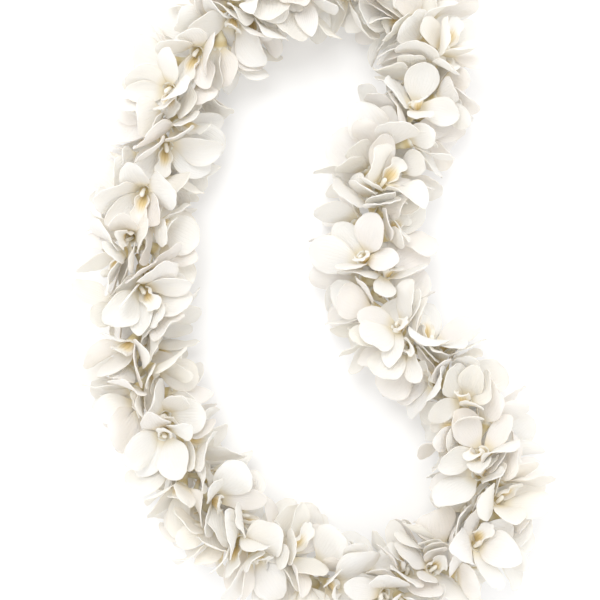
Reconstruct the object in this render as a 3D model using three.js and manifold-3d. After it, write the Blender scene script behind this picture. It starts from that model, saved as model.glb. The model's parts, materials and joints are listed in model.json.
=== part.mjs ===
// A fresh flower lei: white orchid blossoms strung in back-to-back pairs on one closed loop of string.
// Units are millimetres. +Z is up, and the lei lies on the plane Z = 0, centred on X = Y = 0.
//
// A blossom is a short neck with six thin rays spread round its throat: one dorsal sepal, two broad petals,
// two lateral sepals and a small lip. The string runs through the necks. The blossoms grow to full size one
// small step at a time, and their rays turn aside wherever they meet a neighbour or the surface below, so
// they lie against each other as they do in a tightly strung lei.
import * as THREE from "three";
import Module from "manifold-3d";

const wasm = await Module();
wasm.setup();

const degrees = THREE.MathUtils.degToRad;

// ---------------------------------------------------------------- driving dimensions

const STRING_RADIUS = 0.6;
const STRING_HEIGHT = 33; // of the string above the surface that the lei lies on
const STRING_SIDES = 8;
const STRING_STEPS = 80;
const CLEARANCE = 0.3; // between pieces that touch in the real lei
const PIERCED_RADIUS = 1.8; // of the hole through the necks, wide enough where the string bends
const PIERCED_SIDES = 6;

const KNOT_RADIUS = 2.2;
const KNOT_TAIL_REACH = 5;

const PAIR_COUNT = 54;
const NECK_OFFSET = 2.4; // of each neck of a pair from the middle of the pair, along the string
const PAIR_TURN = degrees(68.75); // from one pair to the next, round the string
const TURN_SPREAD = degrees(10);
const LEAN = degrees(12); // of the blossoms along the string
const LEAN_SPREAD = degrees(14);
const SIZE_SPREAD = 0.07; // of the blossoms about their usual size

const THROAT_HEIGHT = 12.5; // of the throat from the string
const THROAT_RADIUS = 4; // of the rays' roots from the middle of the throat
const NECK_RADIUS = 3; // of each neck where the string goes through it
const RAY_THICKNESS = 0.9;
const RAY_ROOT = 1.2; // half a ray's width at its root

// Half of each ray's outline, from its root to its end: places along the ray and half-widths there.
const SEPAL = [[0, RAY_ROOT], [12, 6.7], [26, 0]];
const PETAL = [[0, RAY_ROOT], [13.5, 12.4], [26, 5.2]];
const LIP = [[0, RAY_ROOT], [13, 4.2]];
// The rays in order round the throat: the angle from the dorsal sepal and the angle up from flat open.
const RAYS = [
  { edge: SEPAL, angle: degrees(0), open: degrees(14) },
  { edge: PETAL, angle: degrees(68), open: degrees(28) },
  { edge: SEPAL, angle: degrees(138), open: degrees(14) },
  { edge: LIP, angle: degrees(180), open: degrees(62) },
  { edge: SEPAL, angle: degrees(222), open: degrees(14) },
  { edge: PETAL, angle: degrees(292), open: degrees(28) },
];

// The string's loop seen from above, with a dent where the lei is drawn in on one side.
const ROUTE = [
  [2, 186], [-45, 170], [-80, 128], [-99, 70], [-108, 5], [-104, -50], [-85, -102], [-45, -156],
  [8, -184], [62, -184], [100, -156], [108, -114], [85, -66], [50, -22], [36, 30], [46, 76],
  [66, 112], [73, 152], [48, 181],
];

// ---------------------------------------------------------------- how the blossoms grow

const FIRST_SIZE = 0.25; // of the blossoms' full size
const GROWING_STEPS = 140;
const SETTLING_STEPS = 60; // at full size
const BEAD_SPACING = 4.2; // of the points that stand for a ray's surface
const BEAD_GAP = 4.2; // the least distance between points of different blossoms
const OWN_GAP = 2.6; // the least distance between points of a blossom's own rays
const OWN_SHARE = 0.4; // of a ray's length next to its root, where its blossom's other rays may be nearer
const RETURN_RATE = 0.04; // how much of the way back to its own angle a ray turns in one step
const MOST_TURN = degrees(55); // of a ray away from its own angle
const BODY_RADIUS = 39; // of the lei's body round the string
const CORE_RADIUS = 10; // round the string, that the rays stay out of
const FLOOR_GAP = 1.5;
const CELLS = 4096; // more cells of the neighbour search than fit along the lei
const MENDING_ROUNDS = 12;
const SHORTENING = 0.88; // in one round, of a ray that still crosses another blossom
const OWN_RETURN = 0.3; // in one round, how much of the way back a ray turns from its own blossom's rays

const loop = new THREE.CatmullRomCurve3(
  ROUTE.map(([x, y]) => new THREE.Vector3(x, y, STRING_HEIGHT)),
  true,
  "catmullrom",
  0.5,
);
loop.arcLengthDivisions = 2000;

// A repeatable number from -range to range for a blossom and a purpose.
function spread(index, purpose, range) {
  const value = Math.sin(index * 12.9898 + purpose * 78.233) * 43758.5453;
  return (2 * (value - Math.floor(value)) - 1) * range;
}

// ---------------------------------------------------------------- solids

// A closed geometry as a solid, with the corners at one place merged.
function solidOf(geometry) {
  const position = geometry.getAttribute("position");
  const corners = geometry.index ? geometry.index.array : Array(position.count).keys();
  const numbers = new Map();
  const vertices = [];
  const merged = Array.from(corners, (corner) => {
    const point = new THREE.Vector3().fromBufferAttribute(position, corner).toArray();
    const key = point.map((value) => Math.round(value * 1e4)).join();
    if (!numbers.has(key)) {
      numbers.set(key, numbers.size);
      vertices.push(...point);
    }
    return numbers.get(key);
  });
  const triangles = [];
  for (let i = 0; i < merged.length; i += 3) {
    const corner = merged.slice(i, i + 3);
    if (new Set(corner).size === 3) triangles.push(...corner);
  }
  return manifoldOf(vertices, triangles);
}

function manifoldOf(vertices, triangles) {
  return new wasm.Manifold(
    new wasm.Mesh({
      numProp: 3,
      vertProperties: new Float32Array(vertices),
      triVerts: new Uint32Array(triangles),
    }),
  );
}

function geometryOf(solid) {
  const mesh = solid.getMesh();
  const geometry = new THREE.BufferGeometry();
  geometry.setAttribute("position", new THREE.BufferAttribute(mesh.vertProperties, mesh.numProp));
  geometry.setIndex(new THREE.BufferAttribute(mesh.triVerts, 1));
  geometry.computeVertexNormals();
  return geometry;
}

// The largest piece of a solid, so that a sliver cut loose isn't kept.
function largestPiece(solid) {
  return solid.decompose().reduce((best, piece) => (piece.volume() > best.volume() ? piece : best));
}

// A straight round-sided rod through `centre` in a unit direction.
function rod(centre, direction, radius, length, sides) {
  const geometry = new THREE.CylinderGeometry(radius, radius, length, sides);
  geometry.applyQuaternion(new THREE.Quaternion().setFromUnitVectors(new THREE.Vector3(0, 1, 0), direction));
  return solidOf(geometry.translate(centre.x, centre.y, centre.z));
}

// ---------------------------------------------------------------- the string

// The stretch of the loop that starts and ends `gap` short of the knot's middle.
class StringRoute extends THREE.Curve {
  constructor(gap) {
    super();
    this.gapShare = gap / loop.getLength();
  }

  getPoint(t, target = new THREE.Vector3()) {
    return target.copy(loop.getPointAt(this.gapShare + t * (1 - 2 * this.gapShare)));
  }
}

function stringSolid(radius, gap) {
  const corners = Array.from({ length: STRING_SIDES }, (_, i) => {
    const angle = (2 * Math.PI * i) / STRING_SIDES;
    return new THREE.Vector2(radius * Math.cos(angle), radius * Math.sin(angle));
  });
  const settings = { steps: STRING_STEPS, extrudePath: new StringRoute(gap) };
  return solidOf(new THREE.ExtrudeGeometry(new THREE.Shape(corners), settings));
}

// The knot that closes the loop, with its two trimmed tails.
function knotSolid() {
  const centre = loop.getPointAt(0);
  const along = loop.getTangentAt(0);
  const outward = new THREE.Vector3(along.y, -along.x, 0);
  const lump = solidOf(new THREE.IcosahedronGeometry(KNOT_RADIUS).translate(centre.x, centre.y, centre.z));
  return [-1, 1].reduce((knot, side) => {
    const direction = new THREE.Vector3(0, 0, 1).addScaledVector(outward, side).addScaledVector(along, 0.3);
    direction.normalize();
    const middle = centre.clone().addScaledVector(direction, KNOT_TAIL_REACH / 2);
    return knot.add(rod(middle, direction, STRING_RADIUS, KNOT_TAIL_REACH, STRING_SIDES));
  }, lump);
}

// ---------------------------------------------------------------- the blossoms

// One blossom of a pair before it opens: `side` is 1 or -1.
function plantBlossom(pair, side) {
  const index = 2 * pair + (side > 0 ? 0 : 1);
  const share = (pair + 0.5) / PAIR_COUNT + (side * NECK_OFFSET) / loop.getLength();
  const along = loop.getTangentAt(share);
  const up = new THREE.Vector3(0, 0, 1);
  const outward = along.clone().cross(up);
  const turn = PAIR_TURN * pair + (side > 0 ? 0 : Math.PI) + spread(index, 1, TURN_SPREAD);
  const lean = LEAN + spread(index, 2, LEAN_SPREAD);
  const facing = outward.multiplyScalar(Math.cos(turn)).addScaledVector(up, Math.sin(turn));
  facing.multiplyScalar(Math.cos(lean)).addScaledVector(along, Math.sin(lean)).normalize();
  const dorsal = along.clone().applyAxisAngle(facing, spread(index, 3, Math.PI));
  dorsal.addScaledVector(facing, -dorsal.dot(facing)).normalize();
  const blossom = {
    origin: loop.getPointAt(share),
    along,
    facing,
    dorsal,
    sideways: facing.clone().cross(dorsal),
    size: 1 + spread(index, 4, SIZE_SPREAD),
  };
  blossom.rays = RAYS.map((ray) => plantRay(blossom, ray));
  return blossom;
}

function plantRay(blossom, { edge, angle, open }) {
  const outward = blossom.dorsal.clone().multiplyScalar(Math.cos(angle));
  outward.addScaledVector(blossom.sideways, Math.sin(angle));
  return {
    blossom,
    edge,
    outward,
    root: new THREE.Vector3(),
    turn: openTurn(blossom, outward, open),
    rest: openTurn(blossom, outward, open),
    beads: beadsOver(edge),
  };
}

// The turn of a ray that stands at `angle` up from flat open.
function openTurn({ facing }, outward, angle) {
  const forward = outward.clone().multiplyScalar(Math.cos(angle)).addScaledVector(facing, Math.sin(angle));
  const up = facing.clone().multiplyScalar(Math.cos(angle)).addScaledVector(outward, -Math.sin(angle));
  return new THREE.Quaternion().setFromRotationMatrix(
    new THREE.Matrix4().makeBasis(forward, up.clone().cross(forward), up),
  );
}

// Half a ray's width at a distance from its root.
function halfWidthAt(edge, x) {
  const end = edge.findIndex(([reach]) => reach >= x);
  return THREE.MathUtils.mapLinear(x, edge[end - 1][0], edge[end][0], edge[end - 1][1], edge[end][1]);
}

// Points over a ray's surface and at its corners, in the ray's own frame: x outward, y across, z up.
function beadsOver(edge) {
  const corners = edge.slice(1).flatMap(([x, half]) => [[x, half], [x, -half]]);
  const inside = [];
  const reach = edge[edge.length - 1][0];
  for (let x = BEAD_SPACING; x < reach; x += BEAD_SPACING) {
    const half = halfWidthAt(edge, x);
    const gaps = 2 * Math.ceil(half / BEAD_SPACING);
    for (let i = 0; i <= gaps; i++) inside.push([x, half * ((2 * i) / gaps - 1)]);
  }
  return [...corners, ...inside].map(([x, y]) => ({
    home: new THREE.Vector3(x, y, 0),
    inner: x < OWN_SHARE * reach,
    place: new THREE.Vector3(),
    push: new THREE.Vector3(),
  }));
}

function placeBeads({ blossom, outward, root, turn, beads }, scale) {
  root.copy(blossom.origin).addScaledVector(blossom.facing, THROAT_HEIGHT);
  root.addScaledVector(outward, THROAT_RADIUS * scale);
  for (const { home, place, push } of beads) {
    place.copy(home).multiplyScalar(scale).applyQuaternion(turn).add(root);
    push.set(0, 0, 0);
  }
}

// Pushes apart the beads of different rays that are too near each other.
function pushApart(beads, scale) {
  const gap = BEAD_GAP * scale;
  const cells = new Map();
  for (const bead of beads) {
    const [x, y, z] = bead.place.toArray().map((value) => Math.floor(value / gap) + CELLS / 2);
    for (let i = x - 1; i <= x + 1; i++)
      for (let j = y - 1; j <= y + 1; j++)
        for (let k = z - 1; k <= z + 1; k++)
          for (const other of cells.get((i * CELLS + j) * CELLS + k) || []) separate(bead, other, scale);
    const key = (x * CELLS + y) * CELLS + z;
    if (!cells.has(key)) cells.set(key, []);
    cells.get(key).push(bead);
  }
}

const scratch = new THREE.Vector3();

function separate(a, b, scale) {
  const own = a.ray.blossom === b.ray.blossom;
  if (a.ray === b.ray || (own && a.inner && b.inner)) return;
  const gap = (own ? OWN_GAP : BEAD_GAP) * scale;
  const distance = scratch.subVectors(a.place, b.place).length();
  if (distance >= gap || distance === 0) return;
  scratch.multiplyScalar((0.5 * (gap - distance)) / distance);
  a.push.add(scratch);
  b.push.sub(scratch);
}

// Keeps a bead above the surface, inside the lei's body and clear of its core.
function contain({ ray, place, push }, scale) {
  if (place.z < FLOOR_GAP) push.z += FLOOR_GAP - place.z;
  const { origin, along } = ray.blossom;
  scratch.subVectors(place, origin);
  scratch.addScaledVector(along, -scratch.dot(along));
  const radius = scratch.length();
  const allowed = THREE.MathUtils.clamp(radius, CORE_RADIUS * scale, BODY_RADIUS);
  push.addScaledVector(scratch, allowed / radius - 1);
}

// Turns a ray about its root as its beads are pushed, and a little of the way back to its own open angle.
function turnRay({ root, turn, rest, beads }) {
  const spin = new THREE.Vector3();
  let inertia = 0;
  for (const { place, push } of beads) {
    if (push.lengthSq() === 0) continue;
    scratch.subVectors(place, root);
    inertia += scratch.lengthSq();
    spin.add(scratch.cross(push));
  }
  turn.slerp(rest, RETURN_RATE);
  if (inertia === 0) return;
  const angle = spin.length() / inertia;
  turn.premultiply(new THREE.Quaternion().setFromAxisAngle(spin.normalize(), angle)).normalize();
  const away = turn.angleTo(rest);
  if (away > MOST_TURN) turn.slerp(rest, 1 - MOST_TURN / away);
}

function growBlossoms(blossoms) {
  const rays = blossoms.flatMap((blossom) => blossom.rays);
  const beads = rays.flatMap((ray) => ray.beads);
  for (const ray of rays) for (const bead of ray.beads) bead.ray = ray;
  for (let step = 0; step <= GROWING_STEPS + SETTLING_STEPS; step++) {
    const scale = THREE.MathUtils.lerp(FIRST_SIZE, 1, THREE.MathUtils.smoothstep(step, 0, GROWING_STEPS));
    for (const ray of rays) placeBeads(ray, scale * ray.blossom.size);
    pushApart(beads, scale);
    for (const bead of beads) contain(bead, scale);
    rays.forEach(turnRay);
  }
}

// The outline of a ray past its root, from its right side round its end to its left side.
function outlineOf(edge, grow = 0) {
  const [right, left] = [-1, 1].map((side) =>
    edge.slice(1).map(([x, half]) => [x + grow, side * (half > 0 ? half + grow : 0)]),
  );
  const sharp = edge[edge.length - 1][1] === 0;
  return [...right, ...left.reverse().slice(sharp ? 1 : 0)];
}

// A ray by itself as a thin solid. `grow` makes it larger on every side, as the room that it takes.
function raySolid({ blossom, edge, root, turn }, grow = 0) {
  const foot = edge[0][1] + grow;
  const outline = [[0, -foot], ...outlineOf(edge, grow), [0, foot]];
  const shape = new THREE.Shape(outline.map(([x, y]) => new THREE.Vector2(x, y)));
  const thickness = RAY_THICKNESS + 2 * grow;
  const geometry = new THREE.ExtrudeGeometry(shape, { depth: thickness, bevelEnabled: false });
  geometry.translate(0, 0, -thickness / 2).scale(blossom.size, blossom.size, 1);
  return solidOf(geometry.applyQuaternion(turn).translate(root.x, root.y, root.z));
}

// The neck of a blossom by itself, as a plain rod from just past the string to the throat.
function neckSolid({ origin, facing, size }, grow = 0) {
  const top = THROAT_HEIGHT + RAY_THICKNESS + grow;
  const length = top + NECK_RADIUS;
  const middle = origin.clone().addScaledVector(facing, top - length / 2);
  return rod(middle, facing, THROAT_RADIUS * size + grow, length, RAYS.length);
}

// A pair of blossoms as one closed solid. Each ray grows out of a facet of its blossom's throat. The backs of
// the throats taper to the waist between them, where the two necks are pressed together on the string.
function pairSolid([first, second]) {
  const vertices = [];
  const triangles = [];
  const add = (point) => vertices.push(point.x, point.y, point.z) / 3 - 1;
  const middle = first.origin.clone().add(second.origin).multiplyScalar(0.5);
  const axis = first.facing.clone().sub(second.facing).normalize();
  const lengthwise = first.along.clone().addScaledVector(axis, -first.along.dot(axis)).normalize();
  const across = axis.clone().cross(lengthwise);
  const places = Array.from({ length: 2 * RAYS.length }, (_, i) => {
    const angle = ((i + 0.5) * Math.PI) / RAYS.length;
    const place = middle.clone().addScaledVector(lengthwise, (NECK_OFFSET + NECK_RADIUS) * Math.cos(angle));
    return place.addScaledVector(across, NECK_RADIUS * Math.sin(angle));
  });
  const waist = places.map(add);
  addHead(first, places, waist, add, triangles);
  addHead(second, places.toReversed(), waist.toReversed(), add, triangles);
  return manifoldOf(vertices, triangles);
}

// Adds a blossom's throat and rays, and joins its back to a waist that runs the same way round.
function addHead({ origin, facing, size, rays }, places, waist, add, triangles) {
  // Both sides of a place on the throat or on a ray: the front and then the back.
  const addBoth = (point, up) =>
    [1, -1].map((side) => add(point.clone().addScaledVector(up, (side * RAY_THICKNESS) / 2)));
  const addWall = (from, to) => triangles.push(from[1], to[1], to[0], from[1], to[0], from[0]);
  const centre = origin.clone().addScaledVector(facing, THROAT_HEIGHT);
  const feet = rays.map(({ outward }) => {
    const sideways = facing.clone().cross(outward);
    const foot = centre.clone().addScaledVector(outward, THROAT_RADIUS * size);
    return [-1, 1].map((side) => foot.clone().addScaledVector(sideways, side * RAY_ROOT * size));
  });
  const ring = feet.flat().map((point) => addBoth(point, facing));
  rays.forEach(({ edge, root, turn }, i) => {
    const up = new THREE.Vector3(0, 0, 1).applyQuaternion(turn);
    const outline = outlineOf(edge).map(([x, y]) =>
      addBoth(new THREE.Vector3(x, y, 0).multiplyScalar(size).applyQuaternion(turn).add(root), up),
    );
    const rim = [ring[2 * i], ...outline, ring[2 * i + 1]];
    rim.slice(1).forEach((to, p) => addWall(rim[p], to));
    addWall(ring[2 * i + 1], ring[(2 * i + 2) % ring.length]);
    const last = rim.length - 2;
    const faces = [[rim[0], rim[1], rim[last + 1]], [rim[1], rim[last], rim[last + 1]]];
    for (let p = 2; p < last; p++) faces.push([rim[1], rim[p], rim[p + 1]]);
    for (const [a, b, c] of faces) triangles.push(a[0], b[0], c[0], a[1], c[1], b[1]);
  });
  const gaps = feet.flat().map((point) => point.distanceTo(places[0]));
  const start = gaps.indexOf(Math.min(...gaps));
  waist.forEach((from, i) => {
    const to = waist[(i + 1) % waist.length];
    const [back, next] = [0, 1].map((step) => ring[(start + i + step) % ring.length][1]);
    triangles.push(from, to, next, from, next, back);
    if (i > 0 && i + 1 < ring.length) triangles.push(ring[0][0], ring[i][0], ring[i + 1][0]);
  });
}

// Mends the rays that still cross, a little at a time: they turn back from rays of their own blossom, and
// get shorter where they cross another blossom.
function clearCrossings(blossoms) {
  for (let round = 0; round < MENDING_ROUNDS; round++) {
    const pieces = blossoms.flatMap((blossom) => [
      { blossom, solid: neckSolid(blossom) },
      ...blossom.rays.map((ray) => ({ blossom, ray, solid: raySolid(ray) })),
    ]);
    let crossed = false;
    pieces.forEach((piece, i) => {
      for (const other of pieces.slice(i + 1)) {
        const own = piece.blossom === other.blossom;
        const necks = [piece, other].filter(({ ray }) => !ray).length;
        if (necks === 2 || (own && necks > 0)) continue;
        const shared = piece.solid.intersect(other.solid);
        if (shared.isEmpty()) continue;
        crossed = true;
        if (own) {
          piece.ray.turn.slerp(piece.ray.rest, OWN_RETURN);
          other.ray.turn.slerp(other.ray.rest, OWN_RETURN);
        } else {
          shortenRay(rayNearest(shared, [piece.ray, other.ray].filter(Boolean)));
        }
      }
    });
    if (!crossed) return;
  }
}

// The room that a pair's necks and rays take, one solid for each.
function roomsOf(members) {
  const rays = members.flatMap((blossom) => blossom.rays);
  return [
    ...members.map((blossom) => neckSolid(blossom, CLEARANCE)),
    ...rays.map((ray) => raySolid(ray, CLEARANCE)),
  ];
}

function shortenRay(ray) {
  ray.edge = ray.edge.map((place) => place.map((value) => SHORTENING * value));
}

// The ray whose end is nearest to a solid.
function rayNearest(solid, rays) {
  const { min, max } = solid.boundingBox();
  const centre = new THREE.Vector3(...min).add(new THREE.Vector3(...max)).multiplyScalar(0.5);
  const gap = ({ blossom, edge, root, turn }) => {
    const reach = edge[edge.length - 1][0] * blossom.size;
    return new THREE.Vector3(reach, 0, 0).applyQuaternion(turn).add(root).distanceTo(centre);
  };
  return rays.reduce((best, ray) => (gap(ray) < gap(best) ? ray : best));
}

// The hole that the string makes through a pair's necks at a share of the loop.
function holeSolid(share) {
  const length = 3 * (NECK_OFFSET + NECK_RADIUS);
  return rod(loop.getPointAt(share), loop.getTangentAt(share), PIERCED_RADIUS, length, PIERCED_SIDES);
}

// The pairs of open blossoms, each one solid because their necks are pressed together on the string.
function pairSolids() {
  const pairs = [];
  for (let pair = 0; pair < PAIR_COUNT; pair++) pairs.push([plantBlossom(pair, 1), plantBlossom(pair, -1)]);
  growBlossoms(pairs.flat());
  clearCrossings(pairs.flat());
  const done = [];
  return pairs.map((members, pair) => {
    let solid = pairSolid(members).subtract(holeSolid((pair + 0.5) / PAIR_COUNT));
    const crossed = done.filter((other) => !solid.intersect(other.solid).isEmpty());
    for (const room of crossed.flatMap((other) => roomsOf(other.members)))
      if (!solid.intersect(room).isEmpty()) solid = solid.subtract(room);
    solid = largestPiece(solid.trimByPlane([0, 0, 1], 0));
    done.push({ members, solid });
    return solid;
  });
}

// ---------------------------------------------------------------- the lei

const petalWhite = new THREE.MeshStandardMaterial({ color: 0xf6f2e8, roughness: 0.55, metalness: 0 });
const cotton = new THREE.MeshStandardMaterial({ color: 0xf0ead8, roughness: 0.9, metalness: 0 });

const lei = new THREE.Group();

function addPiece(name, solid, material) {
  const mesh = new THREE.Mesh(geometryOf(solid), material);
  mesh.name = name;
  lei.add(mesh);
}

pairSolids().forEach((solid, i) => {
  const number = String(i + 1).padStart(2, "0");
  addPiece(`blossom_pair_${number}`, solid, petalWhite);
});
addPiece("string", stringSolid(STRING_RADIUS, KNOT_RADIUS + CLEARANCE), cotton);
addPiece("string_knot", knotSolid(), cotton);

const box = new THREE.Box3().setFromObject(lei);
lei.position.set(-(box.min.x + box.max.x) / 2, -(box.min.y + box.max.y) / 2, -box.min.z);

export default lei;
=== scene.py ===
"""A fresh lei: white dendrobium blossoms sewn crowded on a loop of cotton string, laid flat."""

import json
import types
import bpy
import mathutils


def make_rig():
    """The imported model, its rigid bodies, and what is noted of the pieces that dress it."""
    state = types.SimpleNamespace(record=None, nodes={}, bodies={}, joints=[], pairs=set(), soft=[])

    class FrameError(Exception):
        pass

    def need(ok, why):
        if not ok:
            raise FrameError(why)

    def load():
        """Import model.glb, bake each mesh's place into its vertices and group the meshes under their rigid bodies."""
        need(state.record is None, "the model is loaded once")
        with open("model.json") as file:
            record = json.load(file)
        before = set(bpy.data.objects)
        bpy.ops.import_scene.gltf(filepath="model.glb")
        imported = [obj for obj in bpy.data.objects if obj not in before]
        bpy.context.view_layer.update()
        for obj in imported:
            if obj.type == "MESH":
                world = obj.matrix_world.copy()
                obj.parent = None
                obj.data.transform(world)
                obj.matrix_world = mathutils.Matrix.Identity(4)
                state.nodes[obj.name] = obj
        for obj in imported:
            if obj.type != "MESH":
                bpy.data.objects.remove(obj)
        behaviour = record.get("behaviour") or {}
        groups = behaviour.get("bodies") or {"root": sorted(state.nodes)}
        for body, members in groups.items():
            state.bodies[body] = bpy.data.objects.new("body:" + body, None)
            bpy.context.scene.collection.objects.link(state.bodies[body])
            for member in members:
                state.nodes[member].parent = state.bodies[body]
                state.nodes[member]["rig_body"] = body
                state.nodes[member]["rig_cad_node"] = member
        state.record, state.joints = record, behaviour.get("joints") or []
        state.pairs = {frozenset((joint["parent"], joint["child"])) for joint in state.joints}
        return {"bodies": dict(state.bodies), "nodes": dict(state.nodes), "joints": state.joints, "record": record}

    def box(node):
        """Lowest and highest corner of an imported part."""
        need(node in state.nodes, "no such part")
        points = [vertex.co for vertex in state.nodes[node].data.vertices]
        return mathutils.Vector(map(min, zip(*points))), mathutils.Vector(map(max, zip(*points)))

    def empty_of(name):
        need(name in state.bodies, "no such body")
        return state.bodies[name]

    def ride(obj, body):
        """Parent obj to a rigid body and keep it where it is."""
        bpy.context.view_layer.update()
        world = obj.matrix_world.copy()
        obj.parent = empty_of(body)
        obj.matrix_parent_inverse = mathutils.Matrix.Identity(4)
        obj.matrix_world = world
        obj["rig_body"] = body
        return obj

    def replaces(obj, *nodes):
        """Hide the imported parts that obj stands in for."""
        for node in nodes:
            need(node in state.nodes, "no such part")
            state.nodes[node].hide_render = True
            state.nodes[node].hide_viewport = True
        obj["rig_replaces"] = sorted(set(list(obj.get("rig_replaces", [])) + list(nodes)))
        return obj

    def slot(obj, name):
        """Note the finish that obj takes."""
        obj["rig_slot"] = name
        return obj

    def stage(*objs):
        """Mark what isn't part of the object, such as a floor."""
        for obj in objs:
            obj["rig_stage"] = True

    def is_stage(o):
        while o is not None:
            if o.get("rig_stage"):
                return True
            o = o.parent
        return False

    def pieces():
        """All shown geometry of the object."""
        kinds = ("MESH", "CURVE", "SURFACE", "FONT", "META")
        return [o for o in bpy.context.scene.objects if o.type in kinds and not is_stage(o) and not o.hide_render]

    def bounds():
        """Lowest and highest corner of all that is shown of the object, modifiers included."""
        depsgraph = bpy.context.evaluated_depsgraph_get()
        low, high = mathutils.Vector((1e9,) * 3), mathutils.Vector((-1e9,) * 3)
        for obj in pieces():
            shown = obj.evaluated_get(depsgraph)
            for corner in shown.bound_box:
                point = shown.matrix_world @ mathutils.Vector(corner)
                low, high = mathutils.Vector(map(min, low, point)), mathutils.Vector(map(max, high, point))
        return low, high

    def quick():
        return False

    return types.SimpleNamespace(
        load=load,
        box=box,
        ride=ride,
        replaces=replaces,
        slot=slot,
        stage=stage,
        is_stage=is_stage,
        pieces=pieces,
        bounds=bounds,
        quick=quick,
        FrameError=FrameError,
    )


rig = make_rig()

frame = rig.load()

import json
import logging
import math
from dataclasses import dataclass, field
from enum import Enum
from itertools import product
from typing import Any, ClassVar

import bmesh
import bpy
import numpy as np
from mathutils import Matrix, Vector

log = logging.getLogger("flower_lei")

MM = 0.001  # metres in a millimetre
TINY = 1e-9  # keeps a division from failing
Colour = tuple[float, float, float]
Ramp = tuple[float, ...]  # where it starts and ends, and what it gives there if that isn't 0 and 1
Profile = tuple[tuple[float, float], ...]  # two measures of each ring or row
WHITE = (1.0, 1.0, 1.0, 1.0)
Piece = bpy.types.Object
Socket = bpy.types.NodeSocket
Array = np.ndarray
Near = tuple[Array, Array]  # the numbers of the two vertices of each pair
CAD_BOX = [list(corner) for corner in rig.bounds()]


# ------------------------------------------------------------------ the bench


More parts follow.
